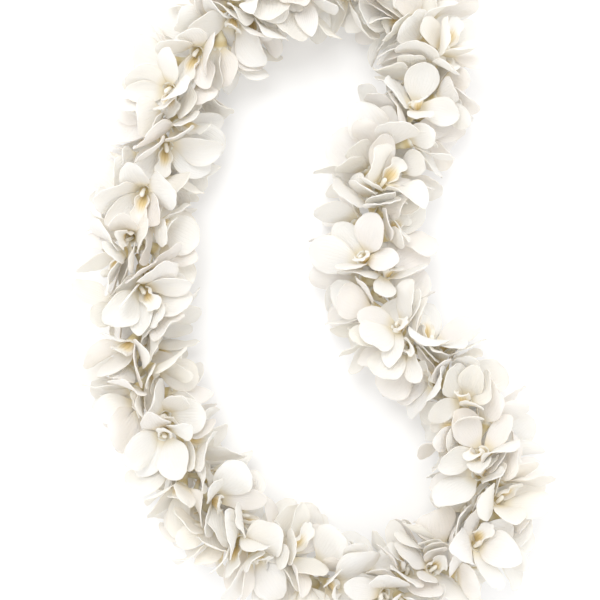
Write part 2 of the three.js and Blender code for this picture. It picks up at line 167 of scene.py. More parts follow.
class Bench:
    """Edit-mode modelling of one piece at a time."""

    SAME_PLACE = 0.01 * MM

    @staticmethod
    def take(piece: Piece) -> None:
        """Makes a piece the only selected one, and the active one."""
        Bench.pick_out([piece])

    @staticmethod
    def pick_out(pieces: list[Piece]) -> None:
        """Selects only these pieces, and makes the first one active.

        Args:
            pieces: The pieces to select.
        """
        for other in bpy.context.selected_objects:
            other.select_set(False)
        for piece in pieces:
            piece.select_set(True)
        bpy.context.view_layer.objects.active = pieces[0]

    @staticmethod
    def open(piece: Piece) -> None:
        """Opens a piece in edit mode with nothing selected.

        Args:
            piece: The piece to open.
        """
        Bench.take(piece)
        bpy.ops.object.mode_set(mode="EDIT")
        bpy.ops.mesh.select_mode(type="VERT")
        bpy.ops.mesh.select_all(action="DESELECT")

    @staticmethod
    def close() -> None:
        """Leaves edit mode."""
        bpy.ops.object.mode_set(mode="OBJECT")

    @staticmethod
    def pick(piece: Piece, wanted: set[int]) -> None:
        """Selects only the vertices with these numbers, in edit mode.

        Args:
            piece: The piece that is open in edit mode.
            wanted: The vertices' numbers.
        """
        mesh = bmesh.from_edit_mesh(piece.data)
        mesh.verts.ensure_lookup_table()
        for vertex in mesh.verts:
            vertex.select = vertex.index in wanted
        mesh.select_flush_mode()
        bmesh.update_edit_mesh(piece.data)

    @staticmethod
    def move(piece: Piece, wanted: set[int], way: tuple[float, float, float]) -> None:
        """Moves the vertices with these numbers, in millimetres.

        Args:
            piece: The piece that is open in edit mode.
            wanted: The vertices' numbers.
            way: How far they go along each axis.
        """
        Bench.pick(piece, wanted)
        bpy.ops.transform.translate(value=tuple(MM * part for part in way))

    @staticmethod
    def bands(piece: Piece, axis: int) -> list[set[int]]:
        """The vertices of a mesh in bands that lie at one place along an axis.

        Args:
            piece: The piece to look at.
            axis: 0 for X, 1 for Y and 2 for Z.

        Returns:
            The numbers of each band's vertices, from the lowest band to the highest.
        """
        found: dict[int, set[int]] = {}
        for vertex in piece.data.vertices:
            found.setdefault(round(vertex.co[axis] / Bench.SAME_PLACE), set()).add(vertex.index)
        return [found[place] for place in sorted(found)]

    @staticmethod
    def turn_up(name: str, sides: int, profile: Profile) -> Piece:
        """Draws a round solid up along Z, one ring at a time.

        Args:
            name: The piece's name.
            sides: How many sides each ring has.
            profile: The height and the radius of each ring in millimetres, in the order that they are drawn.

        Returns:
            The closed piece, shaded smooth.
        """
        bpy.ops.object.select_all(action="DESELECT")
        (low, first), (high, second), *rings = profile
        depth = (high - low) * MM
        bpy.ops.mesh.primitive_cylinder_add(vertices=sides, radius=first * MM, depth=depth, location=(0, 0, 0))
        piece = bpy.context.object
        piece.name = name
        piece.data.transform(Matrix.Translation((0, 0, (low + high) / 2 * MM)))
        top = Bench.bands(piece, 2)[-1]
        Bench.open(piece)
        Bench.pick(piece, top)
        bpy.ops.transform.resize(value=(second / first, second / first, 1))
        for (before, old), (after, new) in zip(profile[1:], rings):
            bpy.ops.mesh.extrude_region_move(TRANSFORM_OT_translate={"value": (0, 0, (after - before) * MM)})
            bpy.ops.transform.resize(value=(new / old, new / old, 1))
        Bench.close()
        bpy.ops.object.shade_smooth()
        return piece

    @staticmethod
    def finish(piece: Piece, kind: str, **settings: Any) -> None:
        """Adds a modifier to a piece and applies it.

        Args:
            piece: The piece.
            kind: The modifier's type.
            **settings: The modifier's own settings.
        """
        Bench.take(piece)
        modifier = piece.modifiers.new(kind.lower(), kind)
        for name, value in settings.items():
            setattr(modifier, name, value)
        bpy.ops.object.modifier_apply(modifier=modifier.name)

    @staticmethod
    def join(name: str, pieces: list[Piece]) -> Piece:
        """Joins pieces into the first one, and names it.

        Args:
            name: The joined piece's name.
            pieces: The pieces to join.

        Returns:
            The joined piece.
        """
        Bench.pick_out(pieces)
        bpy.ops.object.join()
        return Bench.call(pieces[0], name)

    @staticmethod
    def copy(piece: Piece, name: str) -> Piece:
        """Copies a piece with a mesh of its own.

        Args:
            piece: The piece to copy.
            name: The copy's name.

        Returns:
            The copy.
        """
        twin = piece.copy()
        twin.data = piece.data.copy()
        bpy.context.scene.collection.objects.link(twin)
        return Bench.call(twin, name)

    @staticmethod
    def call(piece: Piece, name: str) -> Piece:
        """Names a piece and its mesh."""
        piece.name = piece.data.name = name
        return piece

    @staticmethod
    def hand_in(piece: Piece, node: str, slot: str) -> Piece:
        """Lets a finished piece ride on the lei, in the place of a CAD node and with a slot's finish.

        Args:
            piece: The finished piece.
            node: The CAD node that it stands for.
            slot: The record's slot.

        Returns:
            The same piece.
        """
        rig.ride(piece, "root")
        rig.replaces(piece, node)
        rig.slot(piece, slot)
        return piece


# ------------------------------------------------------------------ finishes


class Board:
    """A node tree while its nodes are being joined."""

    def __init__(self, tree: bpy.types.NodeTree) -> None:
        """Keeps the tree."""
        self.tree = tree

    def add(self, kind: str, values: dict[str | int, Any] | None = None, **settings: Any) -> bpy.types.Node:
        """Adds a node.

        Args:
            kind: The node's type, without its ShaderNode prefix where it has one.
            values: What each input holds, or the output that it is joined to.
            **settings: The node's own settings.

        Returns:
            The new node.
        """
        prefix = "" if kind.startswith("Node") else "ShaderNode"
        node = self.tree.nodes.new(prefix + kind)
        for name, value in settings.items():
            setattr(node, name, value)
        self.fill(node, values or {})
        return node

    def fill(self, node: bpy.types.Node, values: dict[str | int, Any]) -> None:
        """Sets a node's inputs to values, or joins them to outputs.

        Args:
            node: The node.
            values: What each input holds, or the output that it is joined to.
        """
        for key, value in values.items():
            if isinstance(value, Socket):
                self.tree.links.new(value, node.inputs[key])
            else:
                node.inputs[key].default_value = value

    def maths(self, operation: str, first: Any, second: Any) -> Socket:
        """Joins two values by an operation."""
        return self.add("Math", {0: first, 1: second}, operation=operation).outputs[0]

    def times(self, first: Any, second: Any) -> Socket:
        """Multiplies two values."""
        return self.maths("MULTIPLY", first, second)

    def relief(self, *parts: tuple[Any, float]) -> Socket:
        """Adds two heights, each of them given with its share."""
        return self.maths("ADD", *(self.times(height, share) for height, share in parts))

    def paint(self, ground: Any, *coats: tuple[Any, Any]) -> Socket:
        """Lays coats of colour over each other.

        Args:
            ground: The first colour.
            *coats: How much of each further colour there is, and that colour.

        Returns:
            The output with the blended colour.
        """
        for share, coat in coats:
            under = ground if isinstance(ground, Socket) else (*ground, 1.0)
            ground = self.add("Mix", {0: share, 6: under, 7: (*coat, 1.0)}, data_type="RGBA").outputs[2]
        return ground

    def ramp(self, value: Any, start: float, end: float, low: float = 0.0, high: float = 1.0) -> Socket:
        """Turns a value smoothly from low to high between start and end."""
        values = {"Value": value, "From Min": start, "From Max": end, "To Min": low, "To Max": high}
        return self.add("MapRange", values, interpolation_type="SMOOTHSTEP").outputs[0]

    def noise(self, place: Any, scale: Any, detail: float = 2.0) -> Socket:
        """A soft random pattern."""
        return self.add("TexNoise", {"Vector": place, "Scale": scale, "Detail": detail}).outputs[0]

    def split(self, vector: Any) -> tuple[Socket, ...]:
        """The three parts of a vector."""
        return tuple(self.add("SeparateXYZ", {0: vector}).outputs)

    def tone(self) -> tuple[Socket, ...]:
        """The three parts of the piece's own tone."""
        return self.split(self.add("Attribute", attribute_name="tone").outputs["Vector"])


class Effect:
    """A shader node group that several finishes share."""

    def __init__(self, name: str, inputs: dict[str, float | None], outputs: tuple[str, ...]) -> None:
        """Makes the empty group.

        Args:
            name: The group's name.
            inputs: Its inputs, each with its usual value, or None for a vector.
            outputs: Its outputs, all of them values.
        """
        self.group = bpy.data.node_groups.new(name, "ShaderNodeTree")
        for title, usual in inputs.items():
            kind = "NodeSocketVector" if usual is None else "NodeSocketFloat"
            socket = self.group.interface.new_socket(name=title, in_out="INPUT", socket_type=kind)
            if usual is not None:
                socket.default_value = usual
        for title in outputs:
            self.group.interface.new_socket(name=title, in_out="OUTPUT", socket_type="NodeSocketFloat")
        self.board = Board(self.group)
        self.given = self.board.add("NodeGroupInput").outputs
        self.end = self.board.add("NodeGroupOutput")

    def put_out(self, **results: Socket) -> None:
        """Joins each result to the group's output of its name."""
        self.board.fill(self.end, results)

    def place(self, board: Board, values: dict[str, Any]) -> bpy.types.NodeOutputs:
        """Puts the effect in a finish with that finish's own values, and returns its outputs."""
        return board.add("Group", values, node_tree=self.group).outputs


class Effects:
    """The effects that the lei's finishes share: veins, soft cells and browned rims."""

    HALF = 0.5  # a sheet's middle on its map, from 0 at one side to 1 at the other
    VEIN_EDGE: Ramp = (0.0, 0.2, 1.0, 0.0)  # how a vein ends to its sides
    VEIN_FADE: Ramp = (0.55, 1.0, 1.0, 0.15)  # and towards the tip
    PATCHES: Ramp = (0.4, 0.7)  # which stretches of a rim have browned
    DRIFT_SCALE = 5.0
    SLOW_SCALE, SLOW_DETAIL = 90.0, 3.0
    PATCH_SCALE = 4.0

    def __init__(self) -> None:
        """Builds each effect once."""
        self.veins = self._veins()
        self.cells = self._cells()
        self.rim = self._rim()

    def _veins(self) -> Effect:
        """Fine lines that run along a petal and wander a little, from its UV map.

        Returns:
            The effect, which puts out the lines.
        """
        effect = Effect("veins", {"Place": None, "Count": 11.0, "Wander": 0.8}, ("Lines",))
        board, given = effect.board, effect.given
        across, along, _ = board.split(given["Place"])
        drift = board.noise(given["Place"], self.DRIFT_SCALE)
        place = board.maths("ADD", board.times(across, given["Count"]), board.times(drift, given["Wander"]))
        lines = board.ramp(board.maths("PINGPONG", place, self.HALF), *self.VEIN_EDGE)
        effect.put_out(Lines=board.times(lines, board.ramp(along, *self.VEIN_FADE)))
        return effect

    def _cells(self) -> Effect:
        """The velvety skin of a petal, with slow unevenness under it.

        Returns:
            The effect, which puts out both patterns.
        """
        effect = Effect("soft_cells", {"Place": None, "Size": 1400.0}, ("Skin", "Slow"))
        place = effect.given["Place"]
        skin = effect.board.noise(place, effect.given["Size"])
        effect.put_out(Skin=skin, Slow=effect.board.noise(place, self.SLOW_SCALE, self.SLOW_DETAIL))
        return effect

    def _rim(self) -> Effect:
        """Where a petal's rim has browned a little, from its UV map.

        Returns:
            The effect, which puts out the mask.
        """
        effect = Effect("browned_rim", {"Place": None, "Width": 0.07}, ("Mask",))
        board, given = effect.board, effect.given
        across, along, _ = board.split(given["Place"])
        tip = board.maths("SUBTRACT", 1.0, along)
        edge = board.maths("MINIMUM", board.maths("PINGPONG", across, self.HALF), tip)
        close = board.maths("SUBTRACT", 1.0, board.maths("DIVIDE", edge, given["Width"]))
        patch = board.ramp(board.noise(given["Place"], self.PATCH_SCALE), *self.PATCHES)
        effect.put_out(Mask=board.times(board.ramp(close, 0.0, 1.0), patch))
        return effect


@dataclass(frozen=True)
class Finish:
    """What every finish of the lei has."""

    SCATTER = (1.0, 0.92, 0.8)  # how far red, green and blue pass through the skin, as shares of the depth
    SCATTER_DEPTH = 2.0
    SHINE = 0.3
    RELIEF = 0.3  # height of the bump
    UNEVEN: ClassVar[Ramp] = (0.3, 0.7)

    name: str
    roughness: tuple[float, float]
    skin: float  # strength of the bump
    glow: float  # share of the light that passes through the skin

    def material(self, effects: Effects) -> bpy.types.Material:
        """Makes the material.

        Args:
            effects: The shared effects.

        Returns:
            The material, with its colour, relief and roughness joined to its shader.
        """
        material = bpy.data.materials.new(self.name)
        material.use_nodes = True
        board = Board(material.node_tree)
        shader = material.node_tree.nodes["Principled BSDF"]
        shader.subsurface_method = "RANDOM_WALK"
        colour, height, uneven = self.paint(board, effects, board.add("TexCoord").outputs)
        bump = board.add("Bump", {"Height": height, "Strength": self.skin, "Distance": self.RELIEF * MM})
        board.fill(shader, {
            "Subsurface Weight": self.glow,
            "Subsurface Radius": self.SCATTER,
            "Subsurface Scale": self.SCATTER_DEPTH * MM,
            "Specular IOR Level": self.SHINE,
            "Base Color": colour,
            "Roughness": board.ramp(uneven, *self.UNEVEN, *self.roughness),
            "Normal": bump.outputs[0],
        })
        return material

    def paint(self, board: Board, effects: Effects, place: bpy.types.NodeOutputs) -> tuple[Socket, ...]:
        """Paints the surface, each finish in its own way.

        Args:
            board: The material's board.
            effects: The shared effects.
            place: The places on the surface.

        Returns:
            The outputs with the colour, the relief and how uneven the roughness is.
        """
        raise NotImplementedError


@dataclass(frozen=True)
class PetalFinish(Finish):
    """The white of petals and sepals, ivory or blushed from sheet to sheet, and golden near the throat: partly their
    own colour, partly painted shade where the sheets meet deep in the blossom.
    """

    name: str = "orchid_petal"
    roughness: tuple[float, float] = (0.42, 0.6)
    skin: float = 0.7
    glow: float = 0.6
    blade: Colour = (0.957, 0.926, 0.856)
    ivory: Colour = (0.957, 0.887, 0.752)
    blush: Colour = (0.955, 0.85, 0.795)
    shade: Colour = (0.88, 0.83, 0.75)
    # their own gold at the root, deepened into painted shade for the crevices deep in the blossom
    throat: Colour = (0.78, 0.62, 0.34)
    browned: Colour = (0.72, 0.58, 0.38)
    aged: Ramp = (0.35, 1.0, 0.0, 0.7)  # ivory, by the blossom's own tone
    blushed: Ramp = (0.5, 1.0, 0.0, 0.8)  # by the sheet's own tone
    shaded_every: float = 0.31  # of the sheets' tones
    shaded: Ramp = (0.1, 0.31, 0.0, 0.55)
    clouded: Ramp = (0.5, 0.8, 0.0, 0.3)  # ivory, in slow patches
    gold_and_shade_at_root: Ramp = (0.03, 0.34, 0.75, 0.0)  # from the root along the sheet: the throat's gold, partly painted shade in the crevices
    vein_share: float = 0.22
    rim_share: float = 0.4
    vein_height: float = -0.6
    cell_height: float = 0.5

    def paint(self, board: Board, effects: Effects, place: bpy.types.NodeOutputs) -> tuple[Socket, ...]:
        """Paints the tones of blossom and sheet, then veins, patches, the throat's gold with painted shade at the
        roots, and rim.

        Args:
            board: The material's board.
            effects: The shared effects.
            place: The places on the surface.

        Returns:
            The outputs with the colour, the relief and how uneven the roughness is.
        """
        own, whole, _ = board.tone()
        veins = effects.veins.place(board, {"Place": place["UV"]})["Lines"]
        cells = effects.cells.place(board, {"Place": place["Object"]})
        rim = effects.rim.place(board, {"Place": place["UV"]})["Mask"]
        _, along, _ = board.split(place["UV"])
        colour = board.paint(
            self.blade,
            (board.ramp(whole, *self.aged), self.ivory),
            (board.ramp(own, *self.blushed), self.blush),
            (board.ramp(board.maths("PINGPONG", own, self.shaded_every), *self.shaded), self.shade),
            (board.times(veins, self.vein_share), self.shade),
            (board.ramp(cells["Slow"], *self.clouded), self.ivory),
            # the throat's gold at each sheet's root, partly painted shade where the sheets crowd together
            (board.ramp(along, *self.gold_and_shade_at_root), self.throat),
            (board.times(rim, self.rim_share), self.browned),
        )
        return colour, board.relief((veins, self.vein_height), (cells["Skin"], self.cell_height)), cells["Slow"]


@dataclass(frozen=True)
class LipFinish(Finish):
    """The lip: cream white, ochre inside its throat, and brown in the depth under the column, partly its own colour
    and partly painted shade.
    """

    name: str = "orchid_lip"
    roughness: tuple[float, float] = (0.35, 0.55)
    skin: float = 0.4
    glow: float = 0.5
    blade: Colour = (0.94, 0.91, 0.83)
    ochre: Colour = (0.78, 0.55, 0.22)
    # brown at the lip's root under the column: partly its own colour, partly painted shade in that recess; the
    # throat's veins take it too
    depth: Colour = (0.42, 0.29, 0.10)
    browned: Colour = (0.72, 0.58, 0.38)
    middle: Ramp = (0.1, 0.42)  # from the rim to the midline
    deep: Ramp = (0.3, 0.7, 1.0, 0.0)  # along the lip
    # where the painted shade of the depth lies, darkest at the root
    core: Ramp = (0.08, 0.42, 1.0, 0.0)
    deep_share: float = 0.9
    core_and_shade_share: float = 0.8
    vein_share: float = 0.5
    rim_share: float = 0.35
    vein_height: float = 0.8
    cell_height: float = 0.5

    def paint(self, board: Board, effects: Effects, place: bpy.types.NodeOutputs) -> tuple[Socket, ...]:
        """Paints the throat, the brown of its depth with painted shade, and its veins, then the rim.

        Args:
            board: The material's board.
            effects: The shared effects.
            place: The places on the surface.

        Returns:
            The outputs with the colour, the relief and how uneven the roughness is.
        """
        veins = effects.veins.place(board, {"Place": place["UV"], "Count": 7.0, "Wander": 0.4})["Lines"]
        cells = effects.cells.place(board, {"Place": place["Object"]})
        rim = effects.rim.place(board, {"Place": place["UV"], "Width": 0.1})["Mask"]
        across, along, _ = board.split(place["UV"])
        middle = board.ramp(board.maths("PINGPONG", across, effects.HALF), *self.middle)
        deep = board.times(board.ramp(along, *self.deep), middle)
        # the depth's brown, partly painted shade, darkest at the lip's root
        core = board.times(board.ramp(along, *self.core), middle)
        colour = board.paint(
            self.blade,
            (board.times(deep, self.deep_share), self.ochre),
            # brown in the depth: partly the throat's own colour, partly painted shade
            (board.times(core, self.core_and_shade_share), self.depth),
            (board.times(board.times(veins, deep), self.vein_share), self.depth),
            (board.times(rim, self.rim_share), self.browned),
        )
        return colour, board.relief((veins, self.vein_height), (cells["Skin"], self.cell_height)), cells["Slow"]


@dataclass(frozen=True)
class HeartFinish(Finish):
    """The column and the neck: cream at the tip, olive in the throat, and straw to brown down the stalk."""

    name: str = "orchid_heart"
    roughness: tuple[float, float] = (0.4, 0.6)
    skin: float = 0.35
    glow: float = 0.2
    cap: Colour = (0.93, 0.91, 0.82)
    olive: Colour = (0.56, 0.44, 0.20)
    stalk: Colour = (0.68, 0.60, 0.38)
    cut: Colour = (0.50, 0.37, 0.20)
    stalk_rise: Ramp = (0.02, 0.16)  # by the share of the heart's height
    olive_rise: Ramp = (0.45, 0.62)
    cap_rise: Ramp = (0.66, 0.8)
    spotted: Ramp = (0.55, 0.8, 0.0, 0.35)

    def paint(self, board: Board, effects: Effects, place: bpy.types.NodeOutputs) -> tuple[Socket, ...]:
        """Paints the heart from the cut stalk up to the column's cap, with brown spots.

        Args:
            board: The material's board.
            effects: The shared effects.
            place: The places on the surface.

        Returns:
            The outputs with the colour, the relief and how uneven the roughness is.
        """
        height, _, _ = board.tone()
        cells = effects.cells.place(board, {"Place": place["Object"], "Size": 1800.0})
        colour = board.paint(
            self.cut,
            (board.ramp(height, *self.stalk_rise), self.stalk),
            (board.ramp(height, *self.olive_rise), self.olive),
            (board.ramp(height, *self.cap_rise), self.cap),
            (board.ramp(cells["Slow"], *self.spotted), self.cut),
        )
        return colour, cells["Skin"], cells["Slow"]


@dataclass(frozen=True)
class CottonFinish(Finish):
    """Undyed sewing cotton."""

    name: str = "sewing_cotton"
    roughness: tuple[float, float] = (0.85, 0.98)
    skin: float = 0.8
    glow: float = 0.0
    fibre: Colour = (0.86, 0.82, 0.71)
    shade: Colour = (0.62, 0.55, 0.42)
    fuzz: Ramp = (0.35, 0.7)

    def paint(self, board: Board, effects: Effects, place: bpy.types.NodeOutputs) -> tuple[Socket, ...]:
        """Paints the fibres.

        Args:
            board: The material's board.
            effects: The shared effects.
            place: The places on the surface.

        Returns:
            The outputs with the colour, the relief and how uneven the roughness is.
        """
        fibres = effects.cells.place(board, {"Place": place["Object"], "Size": 5200.0})
        colour = board.paint(self.shade, (board.ramp(fibres["Skin"], *self.fuzz), self.fibre))
        return colour, fibres["Skin"], fibres["Slow"]


# ------------------------------------------------------------------ petals


class Kind(Enum):
    """The kinds of sheet that an open blossom has."""

    SEPAL = "sepal"
    PETAL = "petal"
    LIP = "lip"


@dataclass(frozen=True)
class Stand:
    """Where one sheet stands on its blossom, in degrees."""

    kind: Kind
    angle: float  # round the throat from the dorsal sepal
    opening: float  # up from flat open


STANDS = (
    Stand(Kind.SEPAL, 0, 14),
    Stand(Kind.PETAL, 68, 28),
    Stand(Kind.SEPAL, 138, 14),
    Stand(Kind.LIP, 180, 62),
    Stand(Kind.SEPAL, 222, 14),
    Stand(Kind.PETAL, 292, 28),
)


NUMBERS = 8  # sheet numbers kept for each blossom


@dataclass(frozen=True)
class Habit:
    """How the sheets of one kind curve and how far each one differs from the next, in millimetres and shares."""

    arch: float  # of the tip above the straight line, negative where it bends back
    arch_spread: float
    cup: float  # of the sides above the middle
    cup_spread: float
    twist_spread: float
    wave: float  # of the rim
    fold: float  # of the sides above the midrib
    curl_spread: float  # of the outer third
    size_spread: float = 0.12


@dataclass
class SheetModel:
    """One petal, sepal or lip: its root at the origin, growing along X, its face up along Z; in millimetres.

    The rows give how far each row is from the root, and half its width.
    """

    kind: Kind
    rows: Profile
    columns: int
    tip_round: float
    habit: Habit
    free_middle: float = 0.3  # how freely the midrib ripples, where the rim does so fully
    grid: list[int] = field(default_factory=list)  # the vertices' numbers, row by row

    def build(self, dress: bpy.types.Material) -> Piece:
        """Models the sheet from a grid, row by row.

        Args:
            dress: Its material.

        Returns:
            The sheet, whose vertices keep the numbers that `places` gives them.
        """
        bpy.ops.object.select_all(action="DESELECT")
        last = len(self.rows) - 1
        bpy.ops.mesh.primitive_grid_add(x_subdivisions=last, y_subdivisions=self.columns, size=2)
        sheet = bpy.context.object
        sheet.name = self.kind.value
        rows, columns = Bench.bands(sheet, 0), Bench.bands(sheet, 1)
        self.grid = [number for row in rows for column in columns for number in row & column]
        Bench.open(sheet)
        for number, (band, (reach, half)) in enumerate(zip(rows, self.rows)):
            Bench.pick(sheet, band)
            bpy.ops.transform.resize(value=(1, half * MM, 1))
            start = (2 * number / last - 1) / MM
            Bench.move(sheet, band, (reach - start, 0, 0))
        for number, column in enumerate(columns):
            aside = 2 * number / self.columns - 1
            Bench.move(sheet, rows[-1] & column, (-self.tip_round * aside**2, 0, 0))
        self.detail(sheet, rows, columns)
        Bench.close()
        self._turn_map(sheet)
        free = sheet.vertex_groups.new(name="free")
        for number, row in enumerate(rows):
            for place, column in enumerate(columns):
                aside = abs(2 * place / self.columns - 1)
                weight = number / last * (self.free_middle + (1 - self.free_middle) * aside)
                free.add(list(row & column), weight, "REPLACE")
        sheet.data.materials.append(dress)
        bpy.ops.object.shade_smooth()
        return sheet

    def detail(self, sheet: Piece, rows: list[set[int]], columns: list[set[int]]) -> None:
        """Shapes what only this kind has; a plain sheet has nothing."""

    @staticmethod
    def _turn_map(sheet: Piece) -> None:
        """Turns the grid's map, so that U runs across the sheet and V along it.

        Args:
            sheet: The sheet, out of edit mode.
        """
        layer = sheet.data.uv_layers.active
        layer.name = "UVMap"
        for corner in layer.data:
            corner.uv = (corner.uv[1], corner.uv[0])

    @staticmethod
    def places(sheet: Piece) -> Array:
        """The vertices of a sheet in millimetres, a row of three numbers for each.

        Args:
            sheet: The sheet.

        Returns:
            The vertices' places, in their own order.
        """
        flat = np.zeros(3 * len(sheet.data.vertices))
        sheet.data.vertices.foreach_get("co", flat)
        return flat.reshape(-1, 3) / MM


@dataclass
class LipModel(SheetModel):
    """The lip: side lobes that stand up round the column, a ruffled middle lobe and keels in the throat."""

    side_rise: float = 4.2
    side_draw: float = 2.4
    fall: float = 5.0
    ruffle: float = 0.9
    keel: float = 0.7
    inner_rise: float = 0.35  # share of the side lobes' rise that the columns next to them have
    fall_draw: float = 0.25  # share of the fall by which the middle lobe draws back

    def detail(self, sheet: Piece, rows: list[set[int]], columns: list[set[int]]) -> None:
        """Raises the side lobes, drops the middle lobe, ruffles the rim and lifts the keels.

        Args:
            sheet: The lip, open in edit mode.
            rows: Its vertices row by row from the root.
            columns: Its vertices column by column from one side.
        """
        left, inner_left, *keels, inner_right, right = columns
        lobes = set().union(*rows[1:5])
        for outer, inner, side in ((left, inner_left, -1), (right, inner_right, 1)):
            Bench.move(sheet, outer & lobes, (0, -side * self.side_draw, self.side_rise))
            Bench.move(sheet, inner & lobes, (0, 0, self.inner_rise * self.side_rise))
            for number, row in enumerate(rows[3:], 3):
                Bench.move(sheet, outer & row, (0, 0, self.ruffle * (-1) ** number))
        for number, row in enumerate(rows[4:], 1):
            share = number / (len(rows) - 4)
            Bench.move(sheet, row, (-self.fall_draw * self.fall * share**2, 0, -self.fall * share**2))
        for keel in (keels[0], keels[-1]):
            Bench.move(sheet, keel & lobes, (0, 0, self.keel))


SEPAL = SheetModel(
    Kind.SEPAL,
    ((-1.5, 1.9), (3.3, 4.2), (7.6, 6.7), (12.2, 8.0), (16.8, 8.1), (21.0, 7.0), (24.6, 4.9), (27.2, 1.7)),
    4, 0.5,
    Habit(
        arch=-3.0, arch_spread=5.0, cup=-0.8, cup_spread=2.4, twist_spread=2.8,
        wave=0.9, fold=0.9, curl_spread=3.5,
    ),
)
PETAL = SheetModel(
    Kind.PETAL,
    (
        (-1.5, 1.3), (2.1, 3.1), (5.8, 7.0), (9.9, 10.2), (14.2, 11.7), (18.5, 11.8), (22.5, 10.3), (25.8, 7.4),
        (28.0, 3.3),
    ),
    7, 0.8,
    Habit(
        arch=-5.0, arch_spread=4.5, cup=-2.2, cup_spread=3.8, twist_spread=3.6,
        wave=1.4, fold=0.9, curl_spread=4.0,
    ),
)
LIP = LipModel(
    Kind.LIP,
    (
        (-1.5, 2.2), (1.5, 4.6), (4.2, 6.8), (7.0, 7.2), (9.6, 5.0), (12.2, 4.8), (14.8, 5.6), (17.2, 4.4),
        (18.8, 1.6),
    ),
    6, 0.4,
    Habit(
        arch=0.0, arch_spread=0.8, cup=0.0, cup_spread=0.3, twist_spread=0.5,
        wave=0.5, fold=0.0, curl_spread=0.8,
    ),
)


# ------------------------------------------------------------------ the string's way


class StringLine:
    """The closed smooth line of the string, in millimetres."""

    HANDLES = (
        (2, 186), (-45, 170), (-80, 128), (-99, 70), (-108, 5), (-104, -50), (-85, -102),
        (-45, -156), (8, -184), (62, -184), (100, -156), (108, -114), (85, -66), (50, -22),
        (36, 30), (46, 76), (66, 112), (73, 152), (48, 181),
    )
    STEPS = 40  # between two handles

    def __init__(self, low: Vector, high: Vector) -> None:
        """Draws the line and lays it where the string is.

        Args:
            low: The lowest corner of the string's own box, in metres.
            high: Its highest corner.
        """
        handles = np.array(self.HANDLES, float)
        before, after, beyond = (np.roll(handles, shift, 0) for shift in (1, -1, -2))
        share = (np.arange(self.STEPS) / self.STEPS)[None, :, None]
        start, end = 0.5 * (after - before)[:, None], 0.5 * (beyond - handles)[:, None]
        first, second = handles[:, None], after[:, None]
        line = first + start * share
        line = line + (3 * (second - first) - 2 * start - end) * share**2
        line = line + (2 * (first - second) + start + end) * share**3
        line = line.reshape(-1, 2)
        middle = (Vector(low) + Vector(high)) / 2 / MM
        line += np.array(middle[:2]) - (line.min(0) + line.max(0)) / 2
        self.line = np.vstack([line, line[:1]])
        self.reach = np.concatenate([[0], np.cumsum(np.linalg.norm(np.diff(self.line, axis=0), axis=1))])
        self.length = float(self.reach[-1])
        self.height = middle[2]

    def at(self, shares: Array) -> Array:
        """The places at these shares of the whole way round.

        Args:
            shares: How far round the string each place is.

        Returns:
            A row of three numbers for each share.
        """
        way = np.mod(shares, 1) * self.length
        across, up = (np.interp(way, self.reach, self.line[:, axis]) for axis in (0, 1))
        return np.stack([across, up, np.full(len(way), self.height)], 1)

    def along(self, shares: Array) -> Array:
        """The directions of the string at these shares."""
        step = 1 / self.length
        return unit(self.at(shares + step) - self.at(shares - step))


# ------------------------------------------------------------------ planting and growing


SCRAMBLE = (12.9898, 78.233, 43758.5453)  # uneven numbers, which scatter the sines


def unit(vectors: Array) -> Array:
    """The vectors at a length of one."""
    return vectors / np.maximum(np.linalg.norm(vectors, axis=-1, keepdims=True), TINY)


def spread(index: Array, purpose: int, reach: float) -> Array:
    """An even spread of numbers between -reach and reach that is the same every time.

    Args:
        index: What the numbers are for, such as a blossom's number.
        purpose: A number for each use, so that the uses do not run together.
        reach: The most that a number may be.

    Returns:
        One number for each index.
    """
    each, use, far = SCRAMBLE
    value = np.sin(index * each + purpose * use) * far
    return (2 * (value - np.floor(value)) - 1) * reach


def turned(vectors: Array, spin: Array) -> Array:
    """Turns columns of vectors about an axis each.

    Args:
        vectors: A stack of 3 by n arrays.
        spin: Each one's axis, as long as its angle in radians.

    Returns:
        The turned vectors.
    """
    angle = np.linalg.norm(spin, axis=1)
    axis = spin / np.maximum(angle, 1e-12)[:, None]
    cross = np.zeros((len(spin), 3, 3))
    cross[:, 0, 1], cross[:, 0, 2], cross[:, 1, 2] = -axis[:, 2], axis[:, 1], -axis[:, 0]
    cross -= np.transpose(cross, (0, 2, 1))
    sine, versine = np.sin(angle)[:, None, None], (1 - np.cos(angle))[:, None, None]
    return (np.eye(3) + sine * cross + versine * (cross @ cross)) @ vectors


def spin_between(now: Array, wanted: Array) -> Array:
    """The axis, as long as its angle, that turns each set of axes into the wanted one.

    Args:
        now: The sets of axes as they are.
        wanted: The sets of axes as they should be.

    Returns:
        One axis for each set.
    """
    between = wanted @ np.transpose(now, (0, 2, 1))
    angle = np.arccos(np.clip((np.trace(between, axis1=1, axis2=2) - 1) / 2, -1, 1))
    axis = np.stack([between[:, i, j] - between[:, j, i] for i, j in ((2, 1), (0, 2), (1, 0))], 1)
    return axis * (angle / np.maximum(2 * np.sin(angle), TINY))[:, None]


